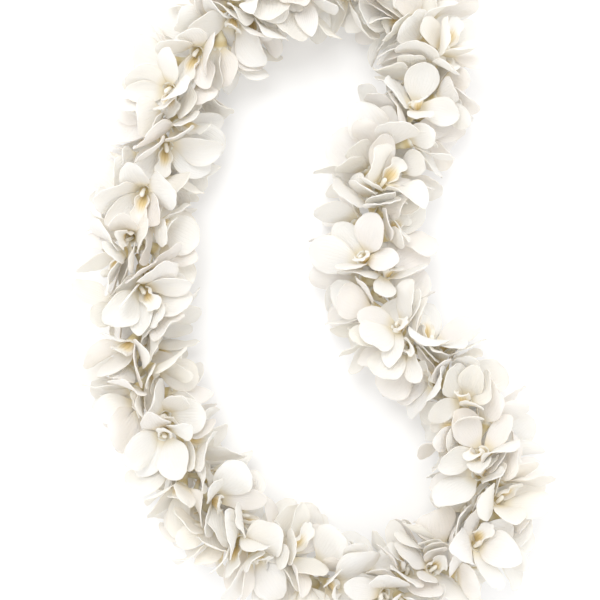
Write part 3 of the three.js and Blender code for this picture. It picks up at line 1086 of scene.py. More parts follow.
@dataclass
class Planting:
    """How the blossoms are sewn on the string: pairs back to back, turning round it, and singles between them.

    Angles are in degrees. A blossom leans along the string.
    """

    line: StringLine
    pairs: int = 54
    neck_offset: float = 2.4  # of each neck of a pair from its middle, along the string
    pair_turn: float = 68.75
    turn_spread: float = 10.0
    lean: float = 36.0
    lean_spread: float = 18.0
    size_spread: float = 0.07
    single_turn: float = 90.0  # of a single blossom from the pair before it
    single_lean: float = 34.0
    single_spread: float = 16.0

    def __post_init__(self) -> None:
        """Works out each blossom's own axes."""
        pair = np.concatenate([np.repeat(np.arange(self.pairs), 2), np.arange(self.pairs)])
        side = np.concatenate([np.tile([1, -1], self.pairs), np.zeros(self.pairs, int)])
        paired = side != 0
        self.index = np.arange(len(pair))
        self.pair = pair
        share = (pair + np.where(paired, 0.5, 1.0)) / self.pairs + side * self.neck_offset / self.line.length
        self.origin, self.string_way = self.line.at(share), self.line.along(share)
        up = np.tile([0.0, 0.0, 1.0], (len(pair), 1))
        outward = np.cross(self.string_way, up)
        turn = math.radians(self.pair_turn) * pair + np.where(side < 0, np.pi, 0)
        turn = turn + np.where(paired, 0, math.radians(self.single_turn))
        turn = (turn + spread(self.index, 1, math.radians(self.turn_spread)))[:, None]
        single = self.single_lean + spread(self.index, 2, self.single_spread)
        lean = np.where(paired, self.lean + spread(self.index, 2, self.lean_spread), single)
        lean = np.radians(lean)[:, None]
        facing = (outward * np.cos(turn) + up * np.sin(turn)) * np.cos(lean) + self.string_way * np.sin(lean)
        self.facing = unit(facing)
        spin = self.facing * spread(self.index, 3, math.pi)[:, None]
        dorsal = turned(self.string_way[:, :, None], spin)[:, :, 0]
        dorsal -= self.facing * np.sum(dorsal * self.facing, 1, keepdims=True)
        self.dorsal = unit(dorsal)
        self.sideways = np.cross(self.facing, self.dorsal)
        self.size = 1 + spread(self.index, 4, self.size_spread)
        self.closed = spread(self.index, 5, 1.0)  # how far each blossom is from its usual openness

    def axes(self, index: int) -> Array:
        """A blossom's own axes as columns: dorsal, sideways and facing."""
        return np.stack([self.dorsal[index], self.sideways[index], self.facing[index]], 1)


class Sheets:
    """All the sheets of one kind, on all the blossoms, while they grow."""

    THROAT_HEIGHT = 12.5
    THROAT_RADIUS = 4.0
    CLOSING = 12.0  # degrees that petals and sepals stand up beyond their own opening
    CLOSING_SPREAD = 16.0
    OPENING_SPREAD = 17.0  # of each sheet from its blossom's others
    ANGLE_SPREAD = 10.0
    ROLL_SPREAD = 16.0
    TURN_SHARE = 0.7  # of each push that turns a sheet about its root
    BEND_SHARE = 0.5  # of each push that bends it
    RETURN_RATE = 0.012
    MOST_TURN = math.radians(55)
    MOST_BEND = 7.0
    FREE_REACH = 0.36  # share of its length where a sheet may be near its own blossom's others
    STIFFNESS = 0.6  # how much the bends resist each other
    WAVES = 1.6  # along the rim
    WAVES_SPREAD = 0.5
    SIDES_APART = 2.0  # in radians, how much the waves of the two sides differ
    WAVE_SHARE = 0.4  # how much the waves' height differs
    CURL_START = 0.6  # share of the length beyond which the tip curls
    ROOT_FULLNESS = 0.15  # how much of the cup reaches the root

    def __init__(self, model: SheetModel, flat: Array, planting: Planting) -> None:
        """Stands the sheets on their blossoms, each with its own curves.

        Args:
            model: What the sheets are.
            flat: The model's vertices.
            planting: The blossoms.
        """
        stands = [stand for stand in STANDS if stand.kind is model.kind]
        self.model = model
        self.blossom = np.repeat(np.arange(len(planting.index)), len(stands))
        angle = np.radians(np.tile([stand.angle for stand in stands], len(planting.index)))[:, None]
        opening = np.tile([stand.opening for stand in stands], len(planting.index))
        places = np.tile([STANDS.index(stand) for stand in stands], len(planting.index))
        self.number = NUMBERS * self.blossom + places
        if model.kind is not Kind.LIP:
            opening = opening + self.CLOSING + self.CLOSING_SPREAD * planting.closed[self.blossom]
            opening = opening + spread(self.number, 6, self.OPENING_SPREAD)
            angle = angle + spread(self.number, 7, math.radians(self.ANGLE_SPREAD))[:, None]
        opening = np.radians(opening)[:, None]
        facing, dorsal = planting.facing[self.blossom], planting.dorsal[self.blossom]
        self.outward = dorsal * np.cos(angle) + planting.sideways[self.blossom] * np.sin(angle)
        self.throat = planting.origin[self.blossom] + facing * self.THROAT_HEIGHT
        self.size = planting.size[self.blossom][:, None, None]
        forward = self.outward * np.cos(opening) + facing * np.sin(opening)
        up = facing * np.cos(opening) - self.outward * np.sin(opening)
        roll = forward * spread(self.number, 8, math.radians(self.ROLL_SPREAD))[:, None]
        self.home = turned(np.stack([forward, np.cross(up, forward), up], 2), roll)
        self.turn = self.home.copy()
        reach, half = flat[:, 0].max(), np.abs(flat[:, 1]).max()
        self.u, self.w = np.clip(flat[:, 0] / reach, 0, 1), flat[:, 1] / half
        self.rest = self._individual(flat)
        modes = np.stack([self.u**2, self.u * self.w, self.u * self.w**2, self.u**3], 1)
        self.modes = modes
        self.fit = np.linalg.solve(modes.T @ modes + self.STIFFNESS * np.eye(modes.shape[1]), modes.T)
        self.bend = np.zeros((len(self.blossom), modes.shape[1]))
        self.inner = self.u < self.FREE_REACH
        self.beside = self._beside()

    def _beside(self) -> list[Array]:
        """For each vertex, the numbers of those before, beyond, to the right and to the left of it.

        Returns:
            Four arrays of numbers, in the order of the vertices.
        """
        columns = self.model.columns + 1
        row = np.repeat(np.arange(len(self.model.rows)), columns)
        column = np.tile(np.arange(columns), len(self.model.rows))
        place = np.zeros((len(self.model.rows), columns), int)
        order = np.array(self.model.grid)
        place[row, column] = order
        beside = []
        for along, across in ((-1, 0), (1, 0), (0, -1), (0, 1)):
            near_row = np.clip(row + along, 0, len(self.model.rows) - 1)
            near_column = np.clip(column + across, 0, columns - 1)
            numbers = np.zeros(len(order), int)
            numbers[order] = place[near_row, near_column]
            beside.append(numbers)
        return beside

    def normals(self, place: Array) -> Array:
        """Which way the face of the sheet looks at each vertex."""
        before, beyond, right, left = (place[:, numbers] for numbers in self.beside)
        return unit(np.cross(beyond - before, left - right))

    def _individual(self, flat: Array) -> Array:
        """Gives each sheet its own size, arch, cup, twist, wavy rim, folded midrib and curled tip.

        Args:
            flat: The model's vertices.

        Returns:
            Every sheet's own vertices.
        """
        habit = self.model.habit

        def vary(purpose: int, reach: float) -> Array:
            """One number for each sheet, between -reach and reach."""
            return spread(self.number, purpose, reach)[:, None]

        u, w = self.u[None], self.w[None]
        rest = np.repeat(flat[None], len(self.number), 0)
        rest[:, :, 0] *= 1 + vary(11, habit.size_spread)
        rest[:, :, 1] *= 1 + vary(12, habit.size_spread)
        middle = np.sin(np.pi * np.clip(self.ROOT_FULLNESS + (1 - self.ROOT_FULLNESS) * u, 0, 1))
        rise = (habit.arch + vary(13, habit.arch_spread)) * u**2
        rise = rise + (habit.cup + vary(14, habit.cup_spread)) * w**2 * middle
        rise = rise + vary(15, habit.twist_spread) * u * w
        turns = (self.WAVES + vary(16, self.WAVES_SPREAD)) * u + vary(17, 1.0)
        waves = np.sin(2 * np.pi * turns + np.sign(w) * vary(18, self.SIDES_APART))
        rise = rise + (habit.wave + vary(19, self.WAVE_SHARE * habit.wave)) * waves * np.abs(w) ** 2 * u
        rise = rise + habit.fold * np.abs(w) * middle
        tip = np.clip((u - self.CURL_START) / (1 - self.CURL_START), 0, 1)
        rise = rise + vary(20, habit.curl_spread) * tip**2
        rest[:, :, 2] += rise
        return rest

    def root(self, scale: float) -> Array:
        """Where each sheet is hinged."""
        return self.throat + self.outward * self.THROAT_RADIUS * scale

    def place(self, scale: float) -> Array:
        """The sheets' vertices at a share of their full size.

        Args:
            scale: The share of their full size.

        Returns:
            Every sheet's vertices, where they stand.
        """
        shape = self.rest.copy()
        shape[:, :, 2] += self.bend @ self.modes.T
        grown = np.einsum("mij,mnj->mni", self.turn, shape * (scale * self.size))
        return self.root(scale)[:, None] + grown

    def give_way(self, place: Array, push: Array, scale: float) -> None:
        """Turns and bends each sheet as its vertices are pushed, and lets it back a little to its own place.

        Args:
            place: The vertices.
            push: How far each one is pushed.
            scale: The sheets' share of their full size.
        """
        arm = place - self.root(scale)[:, None]
        pushed = np.any(push != 0, axis=2)
        inertia = np.sum(np.sum(arm**2, axis=2) * pushed, axis=1)
        spin = np.cross(arm, push).sum(1) / np.maximum(inertia, TINY)[:, None]
        away = spin_between(self.turn, self.home)
        self.turn = turned(self.turn, self.RETURN_RATE * away)
        self.turn = turned(self.turn, self.TURN_SHARE * spin)
        away = spin_between(self.turn, self.home)
        angle = np.linalg.norm(away, axis=1)
        over = np.clip(1 - self.MOST_TURN / np.maximum(angle, TINY), 0, 1)
        self.turn = turned(self.turn, over[:, None] * away)
        lift = np.einsum("mi,mni->mn", self.turn[:, :, 2], push) / scale
        self.bend = (1 - self.RETURN_RATE) * self.bend + self.BEND_SHARE * lift @ self.fit.T
        self.bend = np.clip(self.bend, -self.MOST_BEND, self.MOST_BEND)


class Layers:
    """Which side of each other two sheets lie, kept from their first touch, so that they never settle crossed."""

    def __init__(self, count: int) -> None:
        """Starts with no two sheets touching.

        Args:
            count: How many sheets there are.
        """
        self.count = count
        self.keys = np.zeros(0, np.int64)
        self.lower_face = np.zeros(0, bool)
        self.side = np.zeros(0)

    def look(self, sheets: Near, heights: tuple[Array, Array], close: Array) -> None:
        """Forgets the sheets that have parted, and notes the side of those that have just touched.

        Args:
            sheets: The two sheets' numbers of every near pair of vertices.
            heights: How high the first vertex is over the second, by the first one's face and by the second one's.
            close: Which of the pairs touch.
        """
        low, high = np.minimum(*sheets), np.maximum(*sheets)
        swapped = sheets[0] > sheets[1]
        key = low * self.count + high
        kept = np.isin(self.keys, key)
        self.keys, self.lower_face, self.side = self.keys[kept], self.lower_face[kept], self.side[kept]
        fresh = close & ~np.isin(key, self.keys) & (low >= 0)
        found, where = np.unique(key[fresh], return_inverse=True)
        turn = np.where(swapped, -1, 1)
        by_low, by_high = (
            np.bincount(where, (turn * np.where(swapped, one, other))[fresh], len(found))
            for one, other in ((heights[1], heights[0]), heights)
        )
        lower_face = np.abs(by_low) > np.abs(by_high)
        side = np.where(np.where(lower_face, by_low, by_high) < 0, -1.0, 1.0)
        self.keys = np.concatenate([self.keys, found])
        order = np.argsort(self.keys, kind="stable")
        self.keys = self.keys[order]
        self.lower_face = np.concatenate([self.lower_face, lower_face])[order]
        self.side = np.concatenate([self.side, side])[order]
        if len(self.keys) == 0:
            self.known, self.by_first = np.zeros((2, len(key)), bool)
            self.over = np.ones(len(key))
            return
        spot = np.minimum(np.searchsorted(self.keys, key), len(self.keys) - 1)
        self.known = self.keys[spot] == key
        self.by_first = np.where(swapped, ~self.lower_face[spot], self.lower_face[spot])
        self.over = turn * self.side[spot]


@dataclass
class Growth:
    """Opens all the blossoms together from small ones, so that their petals lie against each other uncrossed."""

    POST_HEIGHTS = (6.0, 9.0, 12.0, 15.0, 18.0)

    planting: Planting
    sheets: list[Sheets]
    first_size: float = 0.25
    growing_steps: int = 150
    settling_steps: int = 60
    gap: float = 4.1  # between the vertices of two blossoms
    own_gap: float = 3.4  # between those of one blossom
    body_radius: float = 41.0
    core_radius: float = 10.0
    floor_gap: float = 1.0
    slack: float = 1.8  # how far beyond the gap neighbours are looked for
    look_again: int = 4  # steps after which they are looked for again
    most_lift: float = 0.6  # of the gap, in one step

    def __post_init__(self) -> None:
        """Notes which blossom and sheet every vertex belongs to."""
        blossom, sheet, inner, sheets_before = [], [], [], 0
        for kind in self.sheets:
            many, each = kind.rest.shape[:2]
            blossom.append(np.repeat(kind.blossom, each))
            sheet.append(np.repeat(np.arange(many) + sheets_before, each))
            inner.append(np.tile(kind.inner, many))
            sheets_before += many
        self.posts = self._posts()
        posts = len(self.posts) // len(self.planting.index)
        blossom.append(np.repeat(np.arange(len(self.planting.index)), posts))
        sheet.append(np.full(len(self.posts), -1))
        inner.append(np.ones(len(self.posts), bool))
        self.blossom, self.sheet, self.inner = map(np.concatenate, (blossom, sheet, inner))
        self.gives = (self.sheet >= 0).astype(float)
        self.layers = Layers(sheets_before)

    def _posts(self) -> Array:
        """Fixed points up each neck and column, which other blossoms' sheets stay clear of."""
        up = self.planting.facing[:, None] * np.array(self.POST_HEIGHTS)[None, :, None]
        return (self.planting.origin[:, None] + up).reshape(-1, 3)

    def run(self) -> None:
        """Grows and then settles the blossoms."""
        near = (np.zeros(0, int), np.zeros(0, int))
        for step in range(self.growing_steps + self.settling_steps):
            share = min(1.0, step / self.growing_steps)
            scale = self.first_size + (1 - self.first_size) * share * share * (3 - 2 * share)
            places = [kind.place(scale) for kind in self.sheets]
            points = np.concatenate([place.reshape(-1, 3) for place in places] + [self.posts])
            faces = [kind.normals(place).reshape(-1, 3) for kind, place in zip(self.sheets, places)]
            faces = np.concatenate(faces + [np.zeros_like(self.posts)])
            if step % self.look_again == 0:
                near = self._neighbours(points, self.gap * scale + self.slack)
                self._look_at_layers(points, faces, near, scale)
            push = self._pushes(points, faces, near, scale) + self._held_in(points, scale)
            start = 0
            for kind, place in zip(self.sheets, places):
                end = start + place.shape[0] * place.shape[1]
                kind.give_way(place, push[start:end].reshape(place.shape), scale)
                start = end
        left = np.linalg.norm(self._pushes(points, faces, near, 1.0), axis=1)
        log.info("growth: %d vertices, pushed by up to %.2f mm at the end", len(left), left.max())

    def _neighbours(self, points: Array, reach: float) -> tuple[Array, Array]:
        """Finds the pairs of vertices that could push each other.

        Args:
            points: All the vertices and posts.
            reach: How near they are.

        Returns:
            The two vertices' numbers of every pair.
        """
        cell = np.floor((points - points.min(0)) / reach).astype(np.int64) + 1
        size = cell.max(0) + 2
        key = (cell[:, 0] * size[1] + cell[:, 1]) * size[2] + cell[:, 2]
        order = np.argsort(key, kind="stable")
        sorted_key = key[order]
        ahead = [cells for cells in product((-1, 0, 1), repeat=3) if cells >= (0, 0, 0)]
        firsts, seconds = [], []
        for i, j, k in ahead:
            wanted = key + (i * size[1] + j) * size[2] + k
            start = np.searchsorted(sorted_key, wanted, "left")
            count = np.searchsorted(sorted_key, wanted, "right") - start
            first = np.repeat(np.arange(len(points)), count)
            within = np.arange(len(first)) - np.repeat(np.cumsum(count) - count, count)
            second = order[np.repeat(start, count) + within]
            keep = self.sheet[first] != self.sheet[second]
            if (i, j, k) == (0, 0, 0):
                keep &= first < second
            first, second = first[keep], second[keep]
            own = self.blossom[first] == self.blossom[second]
            keep = ~(own & self.inner[first] & self.inner[second])
            keep &= np.sum((points[first] - points[second]) ** 2, 1) < reach**2
            firsts.append(first[keep])
            seconds.append(second[keep])
        return np.concatenate(firsts), np.concatenate(seconds)

    def _apart(self, points: Array, faces: Array, near: Near, scale: float) -> tuple[Array, ...]:
        """The way between near vertices, its length, their gap, and its height by each one's own face.

        Args:
            points: All the vertices and posts.
            faces: Which way the surface looks at each of them.
            near: The pairs that could push each other.
            scale: The sheets' share of their full size.

        Returns:
            Those five, for every pair.
        """
        first, second = near
        way = points[first] - points[second]
        distance = np.maximum(np.linalg.norm(way, axis=1), 1e-6)
        gap = np.where(self.blossom[first] == self.blossom[second], self.own_gap, self.gap) * scale
        return way, distance, gap, np.sum(way * faces[first], 1), np.sum(way * faces[second], 1)

    def _look_at_layers(self, points: Array, faces: Array, near: Near, scale: float) -> None:
        """Brings the sheets' layers up to date."""
        _, distance, gap, one, other = self._apart(points, faces, near, scale)
        self.layers.look((self.sheet[near[0]], self.sheet[near[1]]), (one, other), distance < gap)

    def _pushes(self, points: Array, faces: Array, near: Near, scale: float) -> Array:
        """How far each vertex is pushed by those that are too near it, so that sheets slide over each other.

        Args:
            points: All the vertices and posts.
            faces: Which way the surface looks at each of them.
            near: The pairs that could push each other.
            scale: The sheets' share of their full size.

        Returns:
            Each one's push.
        """
        first, second = near
        way, distance, gap, one, other = self._apart(points, faces, near, scale)
        known = self.layers.known
        by_first = np.where(known, self.layers.by_first, np.abs(one) > np.abs(other))
        height = np.where(by_first, one, other)
        over = np.where(known, self.layers.over, np.where(height < 0, -1, 1))
        wanted = np.sqrt(np.maximum(gap**2 - distance**2 + height**2, 0))
        lift = np.where(known | (distance < gap), wanted - over * height, 0)
        side = np.where(by_first[:, None], faces[first], faces[second]) * over[:, None]
        post = (self.gives[first] == 0) | (self.gives[second] == 0)
        side = np.where(post[:, None], way / distance[:, None], side)
        lift = np.where(post, gap - distance, lift)
        lift = np.where(wanted > 0, np.clip(lift, 0, self.most_lift * gap), 0)
        push = side * (lift / np.maximum(self.gives[first] + self.gives[second], 1))[:, None]
        total = np.zeros_like(points)
        for axis in range(3):
            total[:, axis] += np.bincount(first, push[:, axis] * self.gives[first], len(points))
            total[:, axis] -= np.bincount(second, push[:, axis] * self.gives[second], len(points))
        return total

    def _held_in(self, points: Array, scale: float) -> Array:
        """Keeps the vertices above the floor, inside the lei's body and clear of its core.

        Args:
            points: All the vertices and posts.
            scale: The sheets' share of their full size.

        Returns:
            Each one's push.
        """
        origin, way = self.planting.origin[self.blossom], self.planting.string_way[self.blossom]
        out = points - origin
        out -= way * np.sum(out * way, 1, keepdims=True)
        radius = np.linalg.norm(out, axis=1, keepdims=True)
        held = np.clip(radius, self.core_radius * scale, self.body_radius)
        push = out * (held / np.maximum(radius, TINY) - 1)
        push[:, 2] += np.maximum(self.floor_gap - points[:, 2], 0)
        return push * self.gives[:, None]


# ------------------------------------------------------------------ the blossoms


@dataclass
class HeartModel:
    """The solid middle of a blossom: the neck that the string goes through, the throat's cup and the column."""

    sides: int = 10
    neck: Profile = (
        (-4.0, 1.0), (-3.6, 1.3), (-1.0, 1.5), (1.5, 1.7), (4.0, 2.0), (7.0, 2.7), (10.0, 3.7), (12.2, 4.6),
        (13.4, 4.9), (13.0, 4.3), (11.2, 3.2), (9.6, 1.4),
    )
    column: Profile = (
        (8.8, 0.9), (10.6, 1.0), (12.6, 1.1), (14.4, 1.25), (15.8, 1.4), (16.8, 1.3), (17.4, 0.9), (17.7, 0.4),
    )
    spur: float = 1.6  # how far the neck swells under the lip
    spur_height: float = 7.0
    spur_length: float = 2.8
    spur_side: float = -0.5  # beyond which the neck's vertices swell
    foot: float = 0.9  # how far the column's foot stands towards the dorsal sepal
    lean: float = 1.4  # of the column over the lip
    stigma: tuple[float, float] = (12.6, 15.9)  # from which height to which it lies
    stigma_facing: float = -0.75  # how squarely its faces look at the lip
    stigma_rim: float = 0.2
    stigma_depth: float = 0.5

    def build(self, dress: bpy.types.Material) -> Piece:
        """Models the heart with X towards the dorsal sepal and Z the way that the blossom faces.

        Args:
            dress: Its material.

        Returns:
            The heart, with its root at the origin.
        """
        neck = Bench.turn_up("neck", self.sides, self.neck)
        self._swell(neck)
        column = Bench.turn_up("column", self.sides, self.column)
        self._shape_column(column)
        heart = Bench.join("heart", [neck, column])
        heart.data.materials.append(dress)
        low, high = self.neck[0][0], self.column[-1][0]
        tone = heart.data.attributes.new("tone", "FLOAT_VECTOR", "POINT")
        for vertex, value in zip(heart.data.vertices, tone.data):
            value.vector = ((vertex.co.z / MM - low) / (high - low), 0.5, 0.5)
        return heart

    def _swell(self, neck: Piece) -> None:
        """Swells the neck into the blunt spur under the lip.

        Args:
            neck: The neck.
        """
        bands = Bench.bands(neck, 2)
        under = {vertex.index for vertex in neck.data.vertices if vertex.co.x < self.spur_side * MM}
        Bench.open(neck)
        for band in bands:
            share = math.exp(-(((ring_height(neck, band) - self.spur_height) / self.spur_length) ** 2))
            Bench.move(neck, band & under, (-self.spur * share, 0, 0))
        Bench.close()

    def _shape_column(self, column: Piece) -> None:
        """Leans the column over the lip and hollows its stigma.

        Args:
            column: The column.
        """
        bands = Bench.bands(column, 2)
        heights = [ring_height(column, band) for band in bands]
        Bench.open(column)
        for band, height in zip(bands, heights):
            share = (height - heights[0]) / (heights[-1] - heights[0])
            Bench.move(column, band, (self.foot - self.lean * share**2, 0, 0))
        Bench.close()
        low, high = self.stigma
        hollow = {
            index for face in column.data.polygons
            if face.normal.x < self.stigma_facing and low < face.center.z / MM < high for index in face.vertices
        }
        Bench.open(column)
        Bench.pick(column, hollow)
        bpy.ops.mesh.select_mode(type="FACE")
        bpy.ops.mesh.inset(thickness=self.stigma_rim * MM, depth=-self.stigma_depth * MM)
        Bench.close()


def ring_height(piece: Piece, band: set[int]) -> float:
    """How high a ring of a round piece is, in millimetres."""
    return piece.data.vertices[next(iter(band))].co.z / MM


@dataclass
class Garland:
    """All the blossoms of the lei, each one its own piece."""

    line: StringLine
    effects: Effects
    thickness: float = 0.45  # of petals and sepals
    ripple: float = 3.0  # from the lowest to the highest of the uneven skin
    ripple_length: float = 6.0
    ripple_depth: int = 2  # how many times the ripples have finer ones on them
    crisp: float = 50.0  # degrees beyond which an edge stays sharp
    quick_steps: tuple[int, int] = (60, 15)

    def __post_init__(self) -> None:
        """Makes the soft unevenness of the sheets."""
        self.ripples = bpy.data.textures.new("ripples", "CLOUDS")
        self.ripples.noise_scale = self.ripple_length * MM
        self.ripples.noise_depth = self.ripple_depth

    def build(self) -> list[Piece]:
        """Models one blossom's parts, grows all the blossoms and makes a piece of each.

        Returns:
            The blossoms in the order that they are sewn on.
        """
        petal, lip = PetalFinish().material(self.effects), LipFinish().material(self.effects)
        dresses = ((SEPAL, petal), (PETAL, petal), (LIP, lip))
        flats = [(model, model.build(dress)) for model, dress in dresses]
        heart = HeartModel().build(HeartFinish().material(self.effects))
        planting = Planting(self.line)
        sheets = [Sheets(model, SheetModel.places(flat), planting) for model, flat in flats]
        growth = Growth(planting, sheets)
        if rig.quick():
            growth.growing_steps, growth.settling_steps = self.quick_steps
        growth.run()
        open_blossom = self._template({model.kind: flat for model, flat in flats})
        order = self._order(open_blossom)
        grown = self._grown(sheets, growth.floor_gap)
        made = [
            self._blossom(index, open_blossom, order, sheets_of_one, heart, planting)
            for index, sheets_of_one in enumerate(grown)
        ]
        for spare in (open_blossom, heart):
            bpy.data.objects.remove(spare)
        Bench.pick_out(made)
        bpy.ops.object.shade_smooth_by_angle(angle=math.radians(self.crisp))
        return made

    def _template(self, flats: dict[Kind, Piece]) -> Piece:
        """Joins flat sheets into one blossom whose vertices know their sheet and their number on it.

        Args:
            flats: The flat sheet of each kind, which is used up.

        Returns:
            The joined sheets.
        """
        sheets = []
        for number, stand in enumerate(STANDS):
            sheet = Bench.copy(flats[stand.kind], f"sheet_{number}")
            count = len(sheet.data.vertices)
            for name, values in (("stand", [number] * count), ("order", list(range(count)))):
                sheet.data.attributes.new(name, "INT", "POINT").data.foreach_set("value", values)
            sheet.data.attributes.new("tone", "FLOAT_VECTOR", "POINT")
            sheets.append(sheet)
        for flat in flats.values():
            bpy.data.objects.remove(flat)
        return Bench.join("open_blossom", sheets)

    @staticmethod
    def _order(blossom: Piece) -> list[tuple[int, int]]:
        """Each vertex's sheet and its number there, in the joined mesh's order; both marks are then dropped.

        Args:
            blossom: The joined sheets.

        Returns:
            The two numbers of every vertex.
        """
        marks = blossom.data.attributes
        read = []
        for name in ("stand", "order"):
            values = np.zeros(len(blossom.data.vertices), np.int32)
            marks[name].data.foreach_get("value", values)
            read.append(values)
            marks.remove(marks[name])
        return list(zip(*(values.tolist() for values in read)))

    @staticmethod
    def _grown(sheets: list[Sheets], lowest: float) -> list[dict[int, Array]]:
        """Each blossom's sheets at full size, by their stand, pressed flat where they meet the floor.

        Args:
            sheets: The grown sheets of each kind.
            lowest: The least height of a vertex.

        Returns:
            For each blossom, every stand's vertices.
        """
        grown: list[dict[int, Array]] = [{} for _ in range(int(sheets[0].blossom.max()) + 1)]
        for kind in sheets:
            for blossom, number, place in zip(kind.blossom, kind.number, kind.place(1.0)):
                place[:, 2] = np.maximum(place[:, 2], lowest)
                grown[blossom][int(number) % NUMBERS] = place
        return grown

    def _blossom(
        self, index: int, template: Piece, order: list[tuple[int, int]],
        grown: dict[int, Array], heart: Piece, planting: Planting,
    ) -> Piece:
        """Makes one grown blossom.

        Args:
            index: The blossom's number along the string.
            template: The joined flat sheets.
            order: Each of their vertices' sheet and number.
            grown: The grown sheets' vertices in millimetres.
            heart: The neck and column to copy.
            planting: Where the blossoms are.

        Returns:
            The piece, riding on the lei and standing for its pair's CAD node.
        """
        name = f"blossom_{index + 1:03d}"
        blossom = Bench.copy(template, name)
        places = np.array([grown[stand][number] for stand, number in order])
        blossom.data.vertices.foreach_set("co", (places * MM).ravel())
        own = 0.5 + spread(NUMBERS * index + np.arange(len(STANDS)), 21, 0.5)
        whole = 0.5 + spread(index, 22, 0.5)
        tones = [(own[stand], whole, 0.0) for stand, _ in order]
        blossom.data.attributes["tone"].data.foreach_set("vector", np.array(tones).ravel())
        blossom.data.update()
        Bench.finish(blossom, "SUBSURF", levels=1, render_levels=1)
        ripple = {"texture": self.ripples, "strength": self.ripple * MM, "mid_level": 0.5}
        Bench.finish(blossom, "DISPLACE", vertex_group="free", **ripple)
        blossom.vertex_groups.clear()
        Bench.finish(blossom, "SOLIDIFY", thickness=self.thickness * MM, offset=0.0)
        middle = Bench.copy(heart, name + "_heart")
        turn = Matrix(planting.axes(index).tolist()).to_4x4()
        size = float(planting.size[index])
        stand = Matrix.Translation(Vector(planting.origin[index] * MM)) @ turn
        middle.data.transform(stand @ Matrix.Diagonal((size, size, 1, 1)))
        blossom = Bench.join(name, [blossom, middle])
        return Bench.hand_in(blossom, f"blossom_pair_{planting.pair[index] + 1:02d}", "petals")


# ------------------------------------------------------------------ the string


@dataclass
class CottonString:
    """The sewing cotton that holds the blossoms: three plies laid round each other, closed by a knot."""

    line: StringLine
    plies: int = 3
    ply_radius: float = 0.34
    lay_radius: float = 0.3
    lay_length: float = 7.0
    points_a_turn: int = 6
    knot_reach: float = 0.5
    knot_points: int = 36
    tail: float = 5.5
    tail_points: int = 8
    tail_ways: tuple[float, float, float] = (0.3, 0.7, 0.7)  # along the string, outward and up

    def build(self, effects: Effects) -> list[Piece]:
        """Makes the string and its knot.

        Args:
            effects: The shared effects.

        Returns:
            Both pieces.
        """
        dress = CottonFinish().material(effects)
        turns = round(self.line.length / self.lay_length)
        steps = turns * self.points_a_turn
        share = np.arange(steps) / steps
        along = self.line.along(share)
        up = np.tile([0.0, 0.0, 1.0], (steps, 1))
        outward = np.cross(along, up)
        plies = []
        for ply in range(self.plies):
            angle = (2 * np.pi * (turns * share + ply / self.plies))[:, None]
            path = self.line.at(share) + self.lay_radius * (np.cos(angle) * outward + np.sin(angle) * up)
            plies.append(self._strand(f"ply_{ply}", path, self.ply_radius, closed=True))
        string = Bench.join("cotton_string", plies)
        knot = self._knot()
        for piece, node in ((string, "string"), (knot, "string_knot")):
            piece.data.materials.clear()
            piece.data.materials.append(dress)
            Bench.hand_in(piece, node, "cotton")
        return [string, knot]

    def _knot(self) -> Piece:
        """The overhand knot with its two trimmed tails.

        Returns:
            The knot as one piece.
        """
        centre, along = self.line.at(np.zeros(1))[0], self.line.along(np.zeros(1))[0]
        outward = np.cross(along, (0.0, 0.0, 1.0))
        axes = np.stack([along, outward, (0.0, 0.0, 1.0)])
        turn = np.linspace(0, 2 * np.pi, self.knot_points, endpoint=False)[:, None]
        loops = np.hstack([
            np.sin(turn) + 2 * np.sin(2 * turn), np.cos(turn) - 2 * np.cos(2 * turn), -1.6 * np.sin(3 * turn),
        ])
        radius = 2 * self.lay_radius
        strands = [self._strand("knot_loops", centre + self.knot_reach * loops @ axes, radius, closed=True)]
        share = np.linspace(0, 1, self.tail_points)[:, None]
        ahead, aside, rise = self.tail_ways
        for side in (-1, 1):
            tail = share * self.tail * (ahead * along + side * aside * outward)
            tail = tail + share**2 * self.tail * rise * axes[2]
            strands.append(self._strand(f"knot_tail_{side}", centre + tail, radius, closed=False))
        return Bench.join("cotton_knot", strands)

    @staticmethod
    def _strand(name: str, path: Array, radius: float, closed: bool) -> Piece:
        """Makes a round strand along a path.

        Args:
            name: The strand's name.
            path: The points it follows, in millimetres.
            radius: Its radius in millimetres.
            closed: Whether it comes back to its start.

        Returns:
            The strand as a mesh.
        """
        curve = bpy.data.curves.new(name, "CURVE")
        curve.dimensions = "3D"
        curve.bevel_depth = radius * MM
        curve.bevel_resolution = 1
        curve.use_fill_caps = not closed
        spline = curve.splines.new("POLY")
        spline.points.add(len(path) - 1)
        spline.points.foreach_set("co", np.hstack([path * MM, np.ones((len(path), 1))]).ravel())
        spline.use_cyclic_u = closed
        spline.use_smooth = True
        strand = bpy.data.objects.new(name, curve)
        bpy.context.scene.collection.objects.link(strand)
        Bench.take(strand)
        bpy.ops.object.convert(target="MESH")
        return bpy.context.object


# ------------------------------------------------------------------ the studio


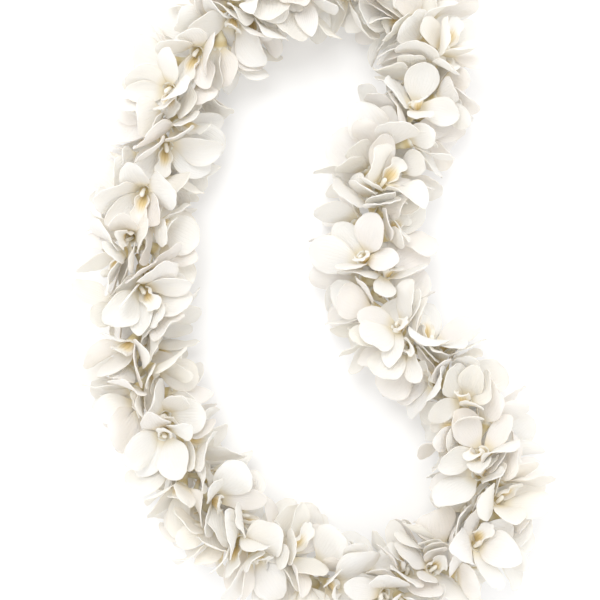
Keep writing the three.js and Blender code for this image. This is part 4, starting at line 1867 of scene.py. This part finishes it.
@dataclass
class Studio:
    """A plain pale floor, soft light and the camera straight above the lei; in metres, and millimetres of film."""

    middle: tuple[float, float] = (-0.0085, -0.0108)  # what the camera looks at
    across: float = 0.372  # how much it sees at the lei's middle height
    lens: float = 70.0
    film: float = 36.0
    nearest: float = 0.01
    gamma: float = 1.32
    floor_size: float = 8.0
    floor_colour: Colour = (0.9, 0.9, 0.9)
    floor_grain: float = 30.0
    floor_dim: float = 0.985  # how light its darkest grain is
    floor_glow: float = 0.17
    ambient: float = 1.0
    key_place: tuple[float, float, float] = (-0.18, 0.5, 1.15)
    key_size: float = 0.7
    key_power: float = 7.4

    def build(self, height: float) -> None:
        """Sets up the camera, the floor and the lights.

        Args:
            height: The height of the lei's middle in metres.
        """
        away = self.across * self.lens / self.film
        bpy.ops.object.camera_add(location=(*self.middle, height + away), rotation=(0, 0, 0))
        camera = bpy.context.object
        camera.name = "camera_above"
        camera.data.lens, camera.data.sensor_width = self.lens, self.film
        camera.data.clip_start = self.nearest
        bpy.context.scene.camera = camera
        self._floor()
        self._lights()
        view = bpy.context.scene.view_settings
        view.view_transform, view.gamma = "Standard", self.gamma

    def _floor(self) -> None:
        """Lays the floor."""
        bpy.ops.object.select_all(action="DESELECT")
        bpy.ops.mesh.primitive_plane_add(size=self.floor_size, location=(0, 0, 0))
        floor = bpy.context.object
        floor.name = "floor"
        material = bpy.data.materials.new("pale_floor")
        material.use_nodes = True
        board, shader = Board(material.node_tree), material.node_tree.nodes["Principled BSDF"]
        grain = board.noise(board.add("TexCoord").outputs["Object"], self.floor_grain)
        dim = tuple(self.floor_dim * part for part in self.floor_colour)
        board.fill(shader, {
            "Base Color": board.paint(self.floor_colour, (grain, dim)),
            "Roughness": 0.95,
            "Specular IOR Level": 0.1,
            "Emission Color": WHITE,
            "Emission Strength": self.floor_glow,
        })
        floor.data.materials.append(material)
        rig.stage(floor)

    def _lights(self) -> None:
        """Hangs one large soft light beyond the lei's far end and fills the room with even white."""
        world = bpy.data.worlds.new("soft_room")
        bpy.context.scene.world = world
        world.use_nodes = True
        room = Board(world.node_tree)
        room.fill(world.node_tree.nodes["Background"], {"Color": WHITE, "Strength": self.ambient})
        place = Vector(self.key_place)
        bpy.ops.object.light_add(type="AREA", location=place)
        key = bpy.context.object
        key.name = "key_light"
        key.data.shape, key.data.size, key.data.energy = "DISK", self.key_size, self.key_power
        key.rotation_euler = (-place).to_track_quat("-Z", "Y").to_euler()


def main() -> None:
    """Builds the lei piece by piece, then the studio round it."""
    logging.basicConfig(level=logging.INFO, format="%(name)s: %(message)s")
    effects = Effects()
    line = StringLine(*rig.box("string"))
    log.info("string: %.0f mm round, %.1f mm up", line.length, line.height)
    for piece in CottonString(line).build(effects) + Garland(line, effects).build():
        log.info("%s: %d faces", piece.name, len(piece.data.polygons))
    Studio().build(line.height * MM)
    boxes = {"cad": CAD_BOX, "visual": [list(corner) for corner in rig.bounds()]}
    with open("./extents.json", "w", encoding="utf-8") as out:
        json.dump(boxes, out)


if __name__ == "__main__":
    main()
